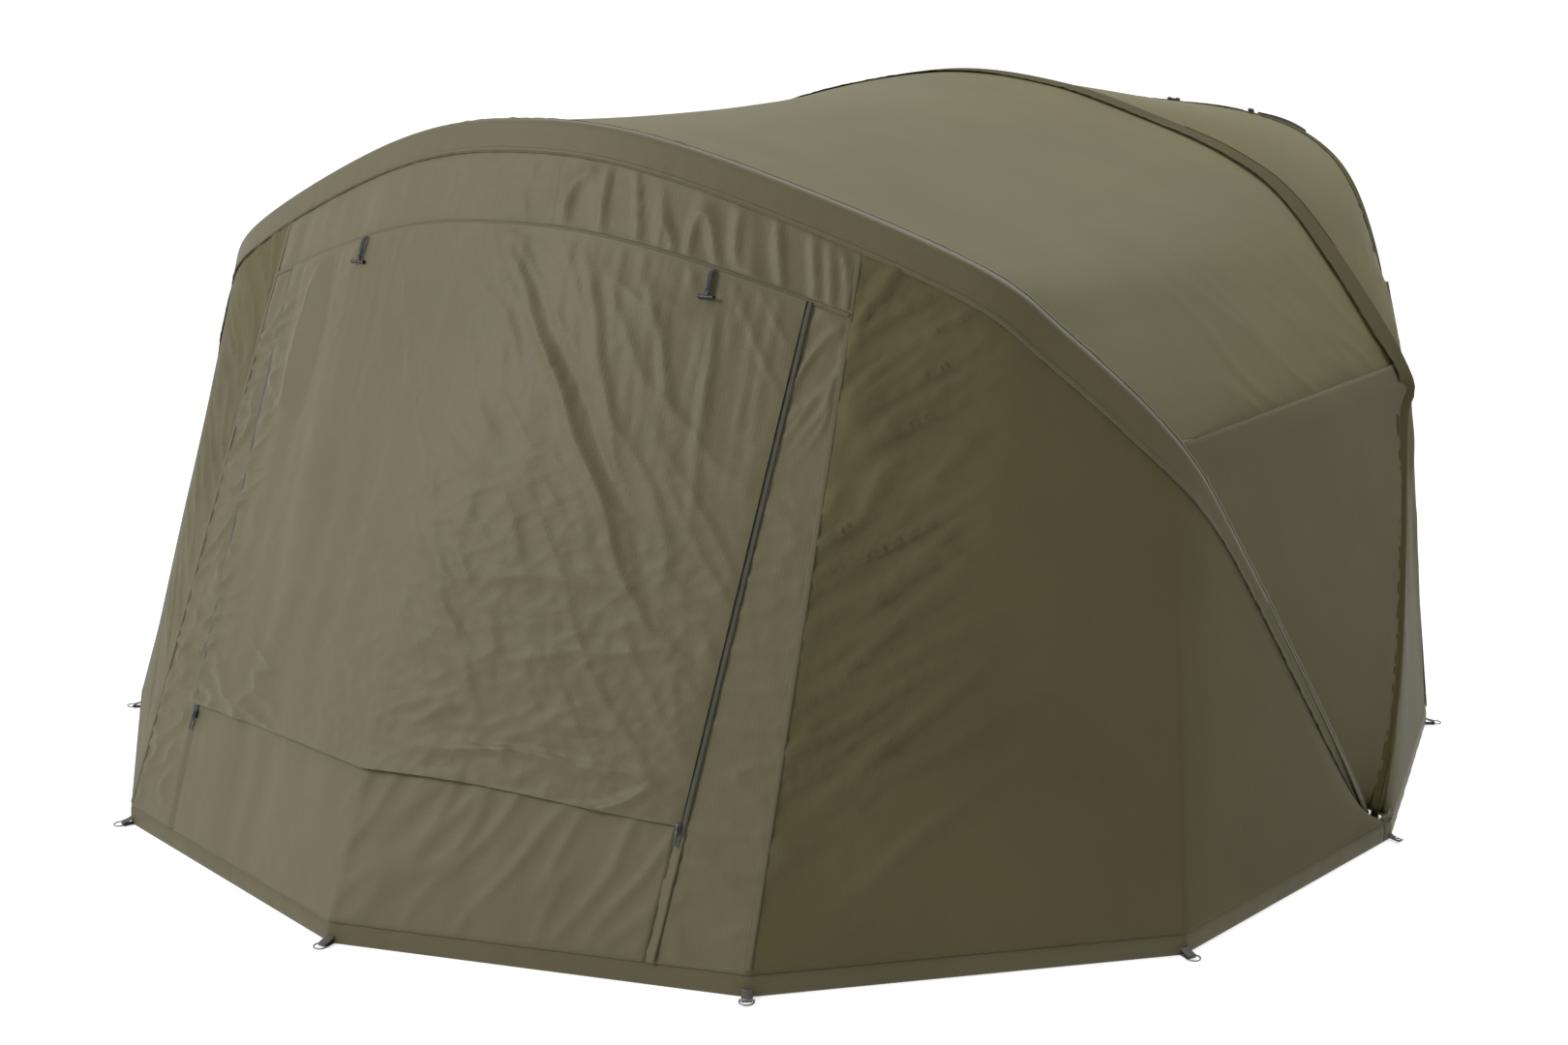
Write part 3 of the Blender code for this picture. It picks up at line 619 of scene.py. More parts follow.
def make_sill():
    def place(u, v):
        return door_panel(u * (zip_share(v) - ZIP_GAP), v)

    p = Panel(place, halves(1, 70), spaced(SILL_TOP, 1, 0.007))
    x, t = p.x, p.t
    drape = soft_folds(p.s, -t, 92, 0.5, 0.075, 51) * 0.0035 * window(x, -0.6, 0.2, 0.2)
    slant = crests(p.s, -t, 62, 0.30, 0.075, 53, 0.3, 0.0042) * window(x, 0.05, 0.6, 0.15)
    relief = (drape + slant) * (1 - 0.5 * smooth(0.15, 0.33, t)) + crinkle(p.s, t, 0.05, 55) * 0.0007
    relief = relief * p.edge(soft=0.014)
    obj = p.make("sill_cloth", FRONT_CLOTH, relief, ["sill"])
    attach(obj, "front_edge")


# Start and end in metres, width, bend, seed and height of the door's long creases.
LONG_FOLDS = (
    ((0.04, 0.04), (0.47, 0.66), 0.012, 0.03, 3, 0.0080),
    ((0.08, 0.06), (0.50, 0.62), 0.020, 0.03, 3, -0.0045),
    ((0.20, 0.02), (0.36, 0.42), 0.011, 0.02, 5, 0.0055),
    ((0.33, 0.05), (0.44, 0.30), 0.010, 0.02, 6, 0.0045),
    ((0.46, 0.06), (0.50, 0.46), 0.009, 0.02, 9, 0.0040),
    ((-0.24, 0.05), (0.10, 0.70), 0.013, 0.04, 7, 0.0045),
    ((-0.08, 0.45), (0.20, 0.90), 0.012, 0.04, 8, 0.0040),
    ((-0.50, 0.02), (-0.53, 0.32), 0.018, 0.02, 11, 0.0100),
    ((-0.45, 0.02), (-0.46, 0.36), 0.020, 0.02, 11, -0.0060),
    ((0.10, 0.66), (0.42, 0.58), 0.010, 0.03, 13, 0.0030),
    ((0.22, 0.78), (0.52, 0.66), 0.012, 0.03, 15, 0.0035),
)


def flap_relief(p):
    """The door's folds: drapes from the top seam, long slanting creases, bunching at the free bottom corners."""
    x, t, s = p.x, p.t, p.s
    length = float(t.max())
    drape = soft_folds(x, -t, 90, 1.1, 0.085, 61) * 0.0060 * window(x, -0.56, 0.12, 0.12)
    drape = drape * (1 - 0.6 * smooth(0.45, 0.95, t))
    fine = crests(x, -t, 93, 0.35, 0.035, 63, 0.3, 0.0022) * (1 - smooth(0.18, 0.45, t))
    long_folds = 0
    for start, end, width, bend, seed, height in LONG_FOLDS:
        long_folds = long_folds + crease(x, t, start, end, width, bend, seed) * height
    slant = crests(x, -t, -52, 0.30, 0.075, 65, 0.3, 0.0026) * window(x, 0.05, 0.60, 0.15)
    slant = slant * window(t, 0.10, 0.80, 0.15)
    low_left = crests(x, -t, -24, 0.20, 0.042, 67, 0.35, 0.0110)
    low_left = low_left * window(x, -0.60, -0.36, 0.10) * smooth(length - 0.26, length - 0.10, t)
    low_right = crests(x, -t, 24, 0.28, 0.062, 69, 0.35, 0.0100)
    low_right = low_right * window(x, 0.20, 0.62, 0.16) * smooth(length - 0.26, length - 0.08, t)
    left_away, right_away = s - s[:, :1], s[:, -1:] - s
    ladder = crests(x, -t, 8, 0.12, 0.048, 71, 0.35, 0.0085) * np.exp(-left_away / 0.05)
    ladder = ladder * window(t, 0.10, 0.85, 0.08)
    rough = crinkle(x, t, 0.05, 73) * 0.0018 * smooth(0.25, 0.6, t) * window(x, -0.05, 0.60, 0.25)
    rough = rough + crinkle(x, t, 0.06, 79) * 0.0007
    total = (drape + fine + long_folds + slant + rough) * 1.15
    total = total * smooth(0, 0.03, left_away) * smooth(0, 0.03, right_away)
    total = total + low_left + low_right + ladder + puckers(t, left_away, 75, 0.018, 0.0022, 0.03)
    total = total + puckers(t, right_away, 76, 0.020, 0.0008, 0.02)
    curl = 0.0012 * np.exp(-right_away / 0.010) + 0.0065 * np.exp(-(length - t) / 0.02)
    top = smooth(0, 0.05, t)
    return (total * smooth(0, 0.025, t) + curl * top + 0.003 * smooth(0.0, 0.1, t)
            - 0.0040 * np.exp(-right_away / 0.015) * top)


def make_flap():
    """The door, in two lengths: the head, and the rest, which is attached to the door's body."""
    def place(u, v):
        return door_panel(u * (zip_share(v) + FLAP_OVER), v, FLAP_OUT)

    middle, head = 80, 0.26  # the middle column, and the length of the head
    us, start = halves(1, middle), DOOR_TOP + 0.002
    top, foot = place(us, us * 0 + start), place(us, us * 0 + DOOR_FOOT)
    down = unit(foot[middle] - top[middle])
    anchor = top[middle] + down * head
    cut = ((anchor - top) @ down) / ((foot - top) @ down)
    head_rows = 40
    row = np.concatenate([np.linspace(0, 1, head_rows), 1 + np.linspace(0, 1, 111)[1:]])

    def whole(u, r):
        share = np.interp(u, us, cut)
        along = np.where(r < 1, r * share, share + (r - 1) * (1 - share))
        drop = DOOR_FOOT - start + 0.013 * smooth(0.2, 1, u) * smooth(0.5, 1, along)
        return place(u, start + drop * along)

    p = Panel(whole, us, row)
    relief = flap_relief(p)
    points = p.points + p.normals * relief[..., None]
    normals = unit(np.cross(np.gradient(points, axis=1), np.gradient(points, axis=0))) * p.outward
    width, height = float(np.ptp(p.s, axis=1).max()), float(np.ptp(p.t, axis=0).max())
    for name, rows, part in (("door_head", slice(0, head_rows), head),
                             ("door_drop", slice(head_rows - 1, None), height - head)):
        uv = np.stack([p.s, p.t], -1)[rows]
        obj = grid_object(name, points[rows], FRONT_CLOTH, uv, outward=p.outward, normals=normals[rows])
        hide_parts("door_flap")
        if name == "door_head":
            fold(obj, np.tile(np.clip(p.v[rows], 0, 1), (2, 1)))
        else:
            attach(obj, "door")
            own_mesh(obj)


def make_wing(word, side):
    def place(u, v):
        return wing_panel(u, v, side)

    us = np.concatenate([np.linspace(0, 0.5, 85), np.linspace(0.5, 1, 45)[1:]])
    p = Panel(place, us, spaced(0, 1, 0.0085))
    d, z = np.abs(p.s - p.s[:, :1]), p.z
    strong = 1.0 if side > 0 else 0.45  # the left wing is smoother in the photo
    upper = crests(d, z, 33, 0.34, 0.062, 81, 0.25, 0.0135)
    upper = upper * window(z, 0.66, 1.22, 0.10) * (1 - smooth(0.15, 0.36, d))
    lower = crests(d, z, 21, 0.46, 0.085, 87, 0.22, 0.0105)
    lower = lower * window(z, 0.22, 0.62, 0.12) * (1 - smooth(0.24, 0.50, d))
    billow = soft_folds(d, z, 78, 1.2, 0.26, 89) * 0.0030 * smooth(0.1, 0.4, d)
    rough = crinkle(d, z, 0.06, 91) * 0.0011 * (1 - smooth(0.2, 0.5, d)) * strong
    fine = crests(d, z, 29, 0.24, 0.030, 97, 0.2, 0.0060) * (1 - smooth(0.10, 0.30, d))
    fine = fine * window(z, 0.30, 1.22, 0.10)
    relief = ((upper + lower + fine) * strong + billow + rough) * p.edge(top=False, soft=0.022)
    relief = relief * smooth(0.02, 0.07, p.t)
    relief = relief + puckers(p.t, d, 93, 0.017, 0.0022, 0.03) * p.edge(top=False, soft=0.008)
    obj = p.make(f"wing_cloth_{word}", SHADED_WING_CLOTH, relief, [f"wing_{word}"])
    fold_wall(obj, p.points)


# Roof and back

def make_roof():
    """The front roof and the two side panels, which reach down to the hub feet."""
    p = Panel(roof_panel, halves(1, 105), spaced(0, 1, 0.0125))
    tips = smooth(0.62, 0.95, np.abs(p.u))
    relief = crests(p.s, -p.t, 14, 0.30, 0.10, 101, 0.2, 0.0022) * tips * window(p.v, 0.35, 0.95, 0.1)
    relief = relief + soft_folds(p.s, p.t, 90, 1.6, 0.35, 103) * 0.0025 + puckers(p.s, p.t, 105, 0.03, 0.0016, 0.04)
    relief = relief * p.edge(soft=0.03)
    obj = p.make("front_roof_cloth", ROOF_CLOTH, relief, ["front_roof"])
    fold_roof(obj, p.points)
    for word, side in SIDES:
        corner = np.array((side * 1.4985, 0, HEM_TOP + 0.004))

        def to_foot(u, v):
            tip = corner + np.stack([u * 0, (v - 0.5) * 0.012, u * 0], -1)
            return mix(side_panel(np.clip(u, 0, 1), v, side), tip, np.clip(u - 1, 0, 1))

        q = Panel(to_foot, np.concatenate([spaced(0, 1, 0.012), (1.25, 1.5, 1.75, 2.0)]), spaced(0, 1, 0.02))
        relief = soft_folds(q.s, q.t, 60, 0.8, 0.2, 107) * 0.0025 * q.edge(soft=0.05)
        obj = q.make(f"side_cloth_{word}", SHADED_WING_CLOTH, relief, [f"side_panel_{word}"])
        fold_roof(obj, q.points)


def make_back():
    """The rear roof, the rear sides and the back wall. Short lips close the corners between them."""
    def to_sides(u, v):
        sides = [rear_side_panel(0.5 + 0.5 * v, v * 0, side) for _, side in SIDES]
        edge = np.where((u < 0)[..., None], *sides)
        return mix(rear_roof_panel(np.clip(u, -1, 1), v), edge, np.clip(np.abs(u) - 1, 0, 1) * 1.1)

    lips = np.array((1.33, 1.67, 2.0))
    p = Panel(to_sides, np.concatenate([-lips[::-1], halves(1, 90), lips]), spaced(0, 1, 0.05))
    swell = 0.012 * np.sin(np.pi * p.v)
    relief = crests(p.s, -p.t, 68, 0.30, 0.05, 111, 0.3, 0.0050) * window(np.abs(p.u), 0.95, 0.98, 0.2)
    relief = (relief + swell) * p.edge(left=False, right=False, soft=0.01) * p.edge(top=False, bottom=False)
    obj = p.make("rear_roof_cloth", ROOF_CLOTH, relief, ["rear_roof"])
    fold_rear(obj, p.v)
    for word, side in SIDES:

        def to_back(u, v):
            corner = back_panel(np.full_like(u, side), v)
            return mix(rear_side_panel(np.clip(u, 0, 1), v, side), corner, np.clip(u - 1, 0, 1) * 1.06)

        q = Panel(to_back, np.concatenate([spaced(0, 1, 0.011), (1.33, 1.67, 2.0)]), spaced(0, 1, 0.011))
        relief = crests(q.s, -q.t, 55, 0.45, 0.09, 113, 0.3, 0.0035) * (1 - smooth(0.2, 0.6, q.v))
        relief = (relief + soft_folds(q.s, q.t, 85, 1.0, 0.2, 115) * 0.0025) * q.edge(soft=0.03)
        obj = q.make(f"rear_side_cloth_{word}", SHADED_WING_CLOTH, relief, [f"rear_side_{word}"])
        fold_rear(obj, (1 - q.v) * np.clip(q.u * 2 - 1, 0, 1))
    b = Panel(back_panel, halves(1, 90), spaced(0, 1, 0.011))
    drape = crests(b.s, -b.t, 88, 0.7, 0.11, 117, 0.3, 0.0055) * (1 - smooth(0.3, 0.9, b.v))
    relief = drape + soft_folds(b.s, b.t, 95, 1.2, 0.3, 119) * 0.004
    relief = (relief + crinkle(b.s, b.t, 0.07, 121) * 0.0010) * b.edge(soft=0.03)
    obj = b.make("back_cloth", FRONT_CLOTH, relief, ["back_wall"])
    fold_rear(obj, 1 - b.v)


# Sleeves

def leg_split(share, hoop, upper, lower):
    return np.where(np.asarray(share)[..., None] < hoop.elbow, upper, lower)


def down_leg(share, hoop, other):
    """The share of another hoop's leg that a share of this hoop's leg faces."""
    reach = (np.clip(share, hoop.elbow, LEG_END) - hoop.elbow) / (LEG_END - hoop.elbow)
    return other.elbow + (LEG_END - other.elbow) * reach


def to_hoop(hoop, other):
    """The place on another hoop that a place on this hoop faces."""
    def target(share, side):
        return leg_split(share, hoop, other.at(np.clip(share / hoop.elbow, 0, 1) * other.elbow, side=side),
                         other.at(down_leg(share, hoop, other), side=side))
    return target


def front_to_ground(share, side):
    over = (share - SEAM_SHARE) / (FRONT.elbow - SEAM_SHARE)
    leg = (share - FRONT.elbow) / (LEG_END - FRONT.elbow)
    door = ground(0, 1, np.clip(share / SEAM_SHARE, 0, 1), side)
    wing = np.where((share < SEAM_SHARE)[..., None], door, ground(1, 2, np.clip(over, 0, 1), side))
    return leg_split(share, FRONT, wing, ground(2, 3, np.clip(leg, 0, 0.96), side))


def middle_to_rear(share, side):
    leg = (LEG_END - share) / (LEG_END - MIDDLE.elbow)
    return leg_split(share, MIDDLE, REAR.at(np.clip(share / MIDDLE.elbow, 0, 1) * REAR.elbow, side=side),
                     ground(3, 4, np.clip(leg, 0.04, 1), side))


def rear_to_ground(share, side):
    return ground(5, 6, 1 - np.clip(share / REAR.elbow, 0, 1), side)


def rolling_mean(values):
    half = 9
    padded = np.concatenate([np.full(half, values[0]), values, np.full(half, values[-1])])
    return np.convolve(padded, np.ones(2 * half + 1) / (2 * half + 1), "valid")


def make_band(name, hoop, limit, ahead, behind, reach_ahead, reach_behind, seed, finish, body, settle=0.0):
    """A sleeve: cloth over the pole, with an edge stitched down on the panel before it and the one behind it."""
    shares = np.linspace(-limit, limit, 421)
    side = sign(shares)
    share = np.abs(shares)
    centre, along, out = hoop.frame(share, side)
    s = shares * hoop.length
    turns = []  # for each side, how far the panel there lies out of the hoop's own plane
    for target, sense in ((behind, -1), (ahead, 1)):
        way = target(share, side) - centre
        way = way - (way * along).sum(-1, keepdims=True) * along
        turn = np.arctan2((way * out).sum(-1), (way @ hoop.forward) * sense)
        turns.append(rolling_mean(turn))
    rows = []

    def at(angle_forward, angle_out):
        return hoop.forward * angle_forward[:, None] + out * angle_out[:, None]

    taper = (1 - 0.72 * smooth(hoop.elbow - 0.04, hoop.elbow + 0.14, share)) * (1 - 0.4 * smooth(0.85, 0.97, share))
    steps_across = 9
    for sense, turn, reach in ((-1, turns[0], reach_behind), (1, turns[1], reach_ahead)):
        ways = at(np.cos(turn) * sense, np.sin(turn))
        normals = at(-np.sin(turn) * sense, np.cos(turn))
        base = EDGE_SIDE * -np.sin(turn) + EDGE_OUT * np.cos(turn)
        flaps = []
        for k in range(steps_across + 1):
            part = k / steps_across
            d = np.maximum(reach * taper, LEAST_FLAP) * part
            lift = BAND_RADIUS + (base + 0.0022 - settle * sense - BAND_RADIUS) * smooth(0, 0.8, part)
            ripple = noise(s / 0.026, s * 0 + part, seed) * 0.0012 * part
            gather = np.clip(noise(s / 0.011 + 0.4 * part, s * 0 + 3.3, seed + 1), 0, 1) * 0.0026 * part**2
            flaps.append(centre + normals * (lift + ripple + gather)[:, None] + ways * d[:, None])
        if sense < 0:
            rows += flaps[::-1]
            start = np.arctan2(np.cos(turn), np.sin(turn))
        else:
            end = np.arctan2(np.cos(turn), -np.sin(turn))
            for k in range(1, 8):
                angle = start + (end - start) * k / 8
                rows.append(centre + at(np.cos(angle), np.sin(angle)) * BAND_RADIUS)
            rows += flaps
    points = np.array(rows)
    step = np.linalg.norm(np.diff(points, axis=0), axis=2).mean(axis=1)
    across = np.concatenate([[0], np.cumsum(step)])
    uv = np.stack(np.broadcast_arrays(s[None, :], across[:, None]), -1)
    normal = np.cross(np.gradient(points, axis=1), np.gradient(points, axis=0))
    outward = 1 if (normal[len(rows) // 2] * out).sum() > 0 else -1
    obj = grid_object(f"{name}_band", points, finish, uv, outward=outward)
    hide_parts(name)
    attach(obj, body)
    if finish == SLEEVE_CLOTH:  # on the dark sleeves no stitching shows
        for word, row in (("ahead", -2), ("behind", 1)):
            seam = seam_mesh(f"{name}_seam_{word}", points[row], normal[row] * outward, width=0.008, proud=0.0011)
            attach(seam, body)


# Seams, zips and the ground edge

# Across a seam: the share of its width and of its height.
SEAM_SECTION = ((-0.5, -0.6), (-0.42, 0.75), (-0.2, 1), (0, 0.8), (0.2, 1), (0.42, 0.75), (0.5, -0.6))


def seam_mesh(name, line, normals, width=0.011, proud=0.0012):
    """A felled seam: a low crowned strip with two rows of stitches."""
    run = unit(np.gradient(line, axis=0))
    normals = unit(normals - (normals * run).sum(-1, keepdims=True) * run)
    cross = np.cross(run, normals)
    step = np.concatenate([[0], np.cumsum(np.linalg.norm(np.diff(line, axis=0), axis=1))])
    rows, uvs = [], []
    for share, height in SEAM_SECTION:
        wave = 0.12 * noise(step / 0.012, step * 0 + share, 7)
        rows.append(line + cross * share * width + normals * (proud * (height + wave))[:, None])
        uvs.append(np.stack([step, step * 0 + share * width], -1))
    return grid_object(name, np.array(rows), SEAM_CLOTH, np.array(uvs), thickness=0.0008, outward=-1)


def seam_on(name, place, us, vs, **options):
    """A seam along a path on a panel, and its points, as many times over as the seam has rows."""
    us, vs = np.broadcast_arrays(np.asarray(us, float), np.asarray(vs, float))
    e = 0.002
    line = place(us, vs)
    normals = np.cross(place(us + e, vs) - place(us - e, vs), place(us, vs + e) - place(us, vs - e))
    normals = normals * sign(((line - INSIDE) * normals).sum(-1))[:, None]
    return seam_mesh(name, line, unit(normals), **options), np.repeat(line[None], len(SEAM_SECTION), 0)


def even_shares(points):
    """From 0 to 1 along each row of points."""
    return np.broadcast_to(np.linspace(0, 1, points.shape[1]), points.shape[:2])


def make_seams():
    for word, side in SIDES:
        def rear_side(u, v):
            return rear_side_panel(u, v, side)

        obj, points = seam_on(f"door_seam_{word}", door_panel, side * 0.9995, spaced(0.025, 0.995, 0.006))
        fold_wall(obj, points)
        obj, points = seam_on(f"roof_seam_{word}", roof_panel, side * 0.998, spaced(0.0, 0.99, 0.006))
        fold_roof(obj, points)
        obj, points = seam_on(f"rear_edge_seam_{word}", rear_side, spaced(0.5, 1.0, 0.012), 0.003)
        fold_rear(obj, even_shares(points))
        obj, points = seam_on(f"back_corner_seam_{word}", back_panel, side * 0.999, spaced(0.0, 0.995, 0.006))
        fold_rear(obj, 1 - even_shares(points))
        obj, points = seam_on(f"side_edge_seam_{word}", rear_side, 0.5, spaced(0.01, 0.995, 0.006), width=0.008)
        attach(obj, "shelter")
    obj, points = seam_on("valance_seam", door_panel, spaced(-0.999, 0.999, 0.006), DOOR_TOP, width=0.010,
                          proud=0.0024)
    fold_wall(obj, points)


ZIP_END, TOOTH = 0.84, 0.0048


def beside_zip(side, half, out):
    """The front wall along a zip, half wide to each side of it."""
    def place(u, v):
        return door_panel(side * zip_share(v), v, out) + np.stack([u, u * 0, u * 0], -1) * half
    return place


def make_zips():
    """For each side of the door: the zip's tape and coil, and the seam that runs on below them."""
    for word, side in SIDES:
        tape, start = beside_zip(side, 0.0125, 0.0012), DOOR_TOP + 0.002
        p = Panel(tape, np.linspace(-1, 1, 7), spaced(start, ZIP_END, 0.006))
        obj = p.make(f"zip_tape_{word}", TAPE, 0, [f"zip_{word}"])
        fold_wall(obj, p.points)
        q = Panel(tape, np.linspace(-0.27, 0.27, 9), spaced(start, ZIP_END - 0.004, 0.0008))
        teeth = 0.6 + 0.4 * np.sign(np.sin(q.t * 2 * math.pi / TOOTH + (q.u > 0) * math.pi))
        relief = 0.0004 + 0.0022 * np.sqrt(np.clip(1 - (q.u / 0.28) ** 2, 0, 1)) * teeth
        obj = grid_object(f"zip_chain_{word}", q.points + q.normals * relief[..., None], COIL,
                          np.stack([q.s, q.t], -1), outward=q.outward)
        fold_wall(obj, q.points)
        g = Panel(beside_zip(side, 0.0145, 0.0006), np.linspace(-1, 1, 7), spaced(ZIP_END - 0.006, 1, 0.004))
        obj = g.make(f"sill_seam_{word}", SEAM_CLOTH, puckers(g.t, g.s * 0, 131, 0.015, 0.0011), ())
        fold_wall(obj, g.points)


def corner_way(index):
    """The way out of the ground outline at a corner."""
    outline = [np.array(c, float) for c in CORNERS]
    outline = [outline[1] * (-1, 1), *outline, outline[-2] * (-1, 1)]
    before, here, after = outline[index:index + 3]
    run = unit(unit(here - before) + unit(after - here))
    return np.array((run[1], -run[0], 0))


def hem_path(numbers, start, end):
    """The ground line through corners (index, side), a point each centimetre, with its outward normals."""
    corners = [start, *(np.array((CORNERS[i][0] * s, CORNERS[i][1])) for i, s in numbers), end]
    line, normals = [], []
    for a, b in zip(corners, corners[1:]):
        count = max(2, int(np.linalg.norm(b - a) / 0.01))
        for k in range(count + (b is corners[-1])):
            line.append(a + (b - a) * k / count)
    line = np.array(line)
    run = unit(np.gradient(line, axis=0))
    normals = np.stack([run[:, 1], -run[:, 0], run[:, 0] * 0], -1)
    line = np.concatenate([line, np.zeros((len(line), 1))], axis=1)
    return line, normals * sign((line * normals).sum(-1))[:, None]


def make_hem(name, line, normals, body):
    """The strip along the ground, with its stitching at the foot of the wall."""
    heights = np.array((0.0006, 0.004, 0.012, 0.022, 0.032, 0.040, 0.046, 0.050))
    swell = np.array((0.0004, 0.0014, 0.0016, 0.0014, 0.0014, 0.0013, 0.0011, 0.0006))
    s = np.concatenate([[0], np.cumsum(np.linalg.norm(np.diff(line, axis=0), axis=1))])
    ripple = noise(s / 0.05, s * 0, 141) * 0.0012
    lean = 0.42 * np.clip(heights - 0.03, 0, 1)  # it leans in with the wall
    points = np.array([line + UP * h + normals * (w + ripple * (h > 0.002) - inward)[:, None]
                       for h, w, inward in zip(heights, swell, lean)])
    uv = np.stack(np.broadcast_arrays(s[None, :], heights[:, None]), -1)
    obj = grid_object(f"{name}_cloth", points, HEM_CLOTH, uv, outward=1)
    normal = np.cross(np.gradient(points, axis=1), np.gradient(points, axis=0))
    if (normal[3] * normals).sum() < 0:
        obj.data.flip_normals()
    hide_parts(name)
    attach(obj, body)
    seam = seam_mesh(f"{name}_stitching", points[5], normals, width=0.008, proud=0.0004)
    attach(seam, body)


def sweep(name, path, section, finish, closed=False):
    """A tube: a section of (across, up) points carried along a path of (place, across, up)."""
    bm = bmesh.new()
    layer = bm.loops.layers.uv.new("UVMap")
    rings = [[bm.verts.new(Vector(p) + Vector(a) * x + Vector(b) * y) for x, y in section] for p, a, b in path]
    pairs = list(zip(rings, rings[1:])) + ([(rings[-1], rings[0])] if closed else [])
    done = 0.0
    for number, (first, second) in enumerate(pairs):
        step = (Vector(path[(number + 1) % len(path)][0]) - Vector(path[number][0])).length
        for k in range(len(section)):
            j = (k + 1) % len(section)
            face = bm.faces.new((first[k], first[j], second[j], second[k]))
            face.smooth = True
            x0, x1 = section[k][0], section[j][0]
            for loop, at in zip(face.loops, ((done, x0), (done, x1), (done + step, x1), (done + step, x0))):
                loop[layer].uv = at
        done += step
    if not closed:
        bm.faces.new(rings[0][::-1])
        bm.faces.new(rings[-1])
    bmesh.ops.recalc_face_normals(bm, faces=bm.faces)
    mesh = mesh_of(name, bm)
    mesh.materials.append(finish)
    return placed(name, mesh)


def round_section(radius, count=12):
    return [(radius * math.cos(2 * math.pi * k / count), radius * math.sin(2 * math.pi * k / count))
            for k in range(count)]


def strap_section(width, thickness):
    """A flat strap with rounded edges."""
    half, t = width / 2, thickness / 2
    return [(-half, 0), (-half + t, t), (0, t * 1.15), (half - t, t), (half, 0), (half - t, -t), (0, -t * 1.15),
            (-half + t, -t)]


def along_path(points, across):
    """Points with the across and up directions for sweep()."""
    points = np.array(points, float)
    run = unit(np.gradient(points, axis=0))
    across = unit(np.broadcast_to(across, points.shape) - (run * across).sum(-1, keepdims=True) * run)
    return list(zip(points.tolist(), across.tolist(), np.cross(run, across).tolist()))


def tab_frame(index, side):
    """At a corner: the middle of the ring's bar, the way out and the way along the bar."""
    out = corner_way(index) * (side, 1, 1)
    centre = np.array((CORNERS[index][0] * side, CORNERS[index][1], TAB_LOOP)) + out * TAB_REACH
    return centre, out, np.cross(out, UP)


def make_ring(name, index, side, body, replaces=None, turn=0.0):
    """A wire D: a bar in the tab's loop, round corners and a bow outside it."""
    centre, out, run = tab_frame(index, side)
    corner, steps = 0.004, (0.5, 1.1, 1.57)
    bar = RING_HALF - corner
    flat = [(-bar, 0), (0, 0), (bar, 0)]
    flat += [(bar + corner * math.sin(a), corner - corner * math.cos(a)) for a in steps]
    flat += [(RING_HALF * math.cos(a), RING_SIDE + RING_HALF * math.sin(a)) for a in np.linspace(0, math.pi, 17)]
    flat += [(-bar - corner * math.sin(a), corner - corner * math.cos(a)) for a in steps[::-1]]
    bow = out * math.cos(turn) + UP * math.sin(turn)
    points = np.array([centre + run * x + bow * y for x, y in flat])
    tangent = unit(np.roll(points, -1, 0) - np.roll(points, 1, 0))
    normal = unit(np.cross(run, bow))
    path = [(p, np.cross(t, normal), normal) for p, t in zip(points, tangent)]
    obj = sweep(name, path, round_section(WIRE, 10), RING_STEEL, closed=True)
    if replaces:
        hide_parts(replaces)
    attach(obj, body)


def make_tab(name, index, side, body):
    """Webbing folded round the ring's bar, with both ends sewn to the hem."""
    centre, out, run = tab_frame(index, side)
    loop = 0.0032
    flat = [(-TAB_REACH - 0.002, 0.0105), (-TAB_REACH + 0.006, 0.0065)]
    flat += [(loop * math.sin(a), loop * math.cos(a)) for a in np.linspace(0, math.pi, 9)]
    flat += [(-TAB_REACH + 0.006, -0.0026), (-TAB_REACH - 0.001, -0.0028)]
    points = [centre + out * x + UP * y for x, y in flat]
    obj = sweep(name, along_path(points, run), strap_section(0.019, 0.0013), WEBBING)
    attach(obj, body)


RINGS = (("ring_front_middle", 0, 1, "front_edge"), ("ring_back_middle", 6, 1, "shelter"),
         *((f"ring_{place}_{word}", index, side, body)
           for place, index, body in (("door_seam", 1, "front_edge"), ("wing", 2, "front_edge"),
                                      ("rear_side", 4, "shelter"), ("back_seam", 5, "shelter"))
           for word, side in SIDES))


def make_ground_edge():
    """The hems, the rings on their tabs, and the webbing and eyelet at each hub foot."""
    foot, after = np.array(CORNERS[3], float), np.array(CORNERS[2], float)
    split = foot + unit(after - foot) * 0.030
    path = [(2, -1), (1, -1), (0, 1), (1, 1), (2, 1)]
    make_hem("front_hem", *hem_path(path, split * (-1, 1), split), "front_edge")
    path = [(3, 1), (4, 1), (5, 1), (6, 1), (5, -1), (4, -1), (3, -1)]
    make_hem("rear_hem", *hem_path(path, split, split * (-1, 1)), "shelter")
    for name, index, side, body in RINGS:
        make_tab(name.replace("ring", "tab"), index, side, body)
        make_ring(f"{name}_wire", index, side, name, name)
    for word, side in SIDES:
        out = np.array((side * 0.94, -0.34, 0))
        run = np.cross(out, UP)
        start = np.array((side * 1.500, -0.002, 0.0045))
        points = [start + out * d + UP * h for d, h in ((-0.006, 0.006), (0.004, 0.001), (0.014, 0), (0.026, -0.001))]
        obj = sweep(f"foot_tab_{word}", along_path(points, run), strap_section(0.018, 0.0016), WEBBING)
        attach(obj, "shelter")
        centre = start + out * 0.018 + UP * 0.0012
        ways = [out * math.cos(a) + run * math.sin(a) for a in np.linspace(0, 2 * math.pi, 25)[:-1]]
        path = [(centre + way * 0.0050, way, UP) for way in ways]
        obj = sweep(f"foot_eyelet_{word}", path, [(x, y * 0.6) for x, y in round_section(0.0016, 10)], STEEL,
                    closed=True)
        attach(obj, "shelter")


# Small parts

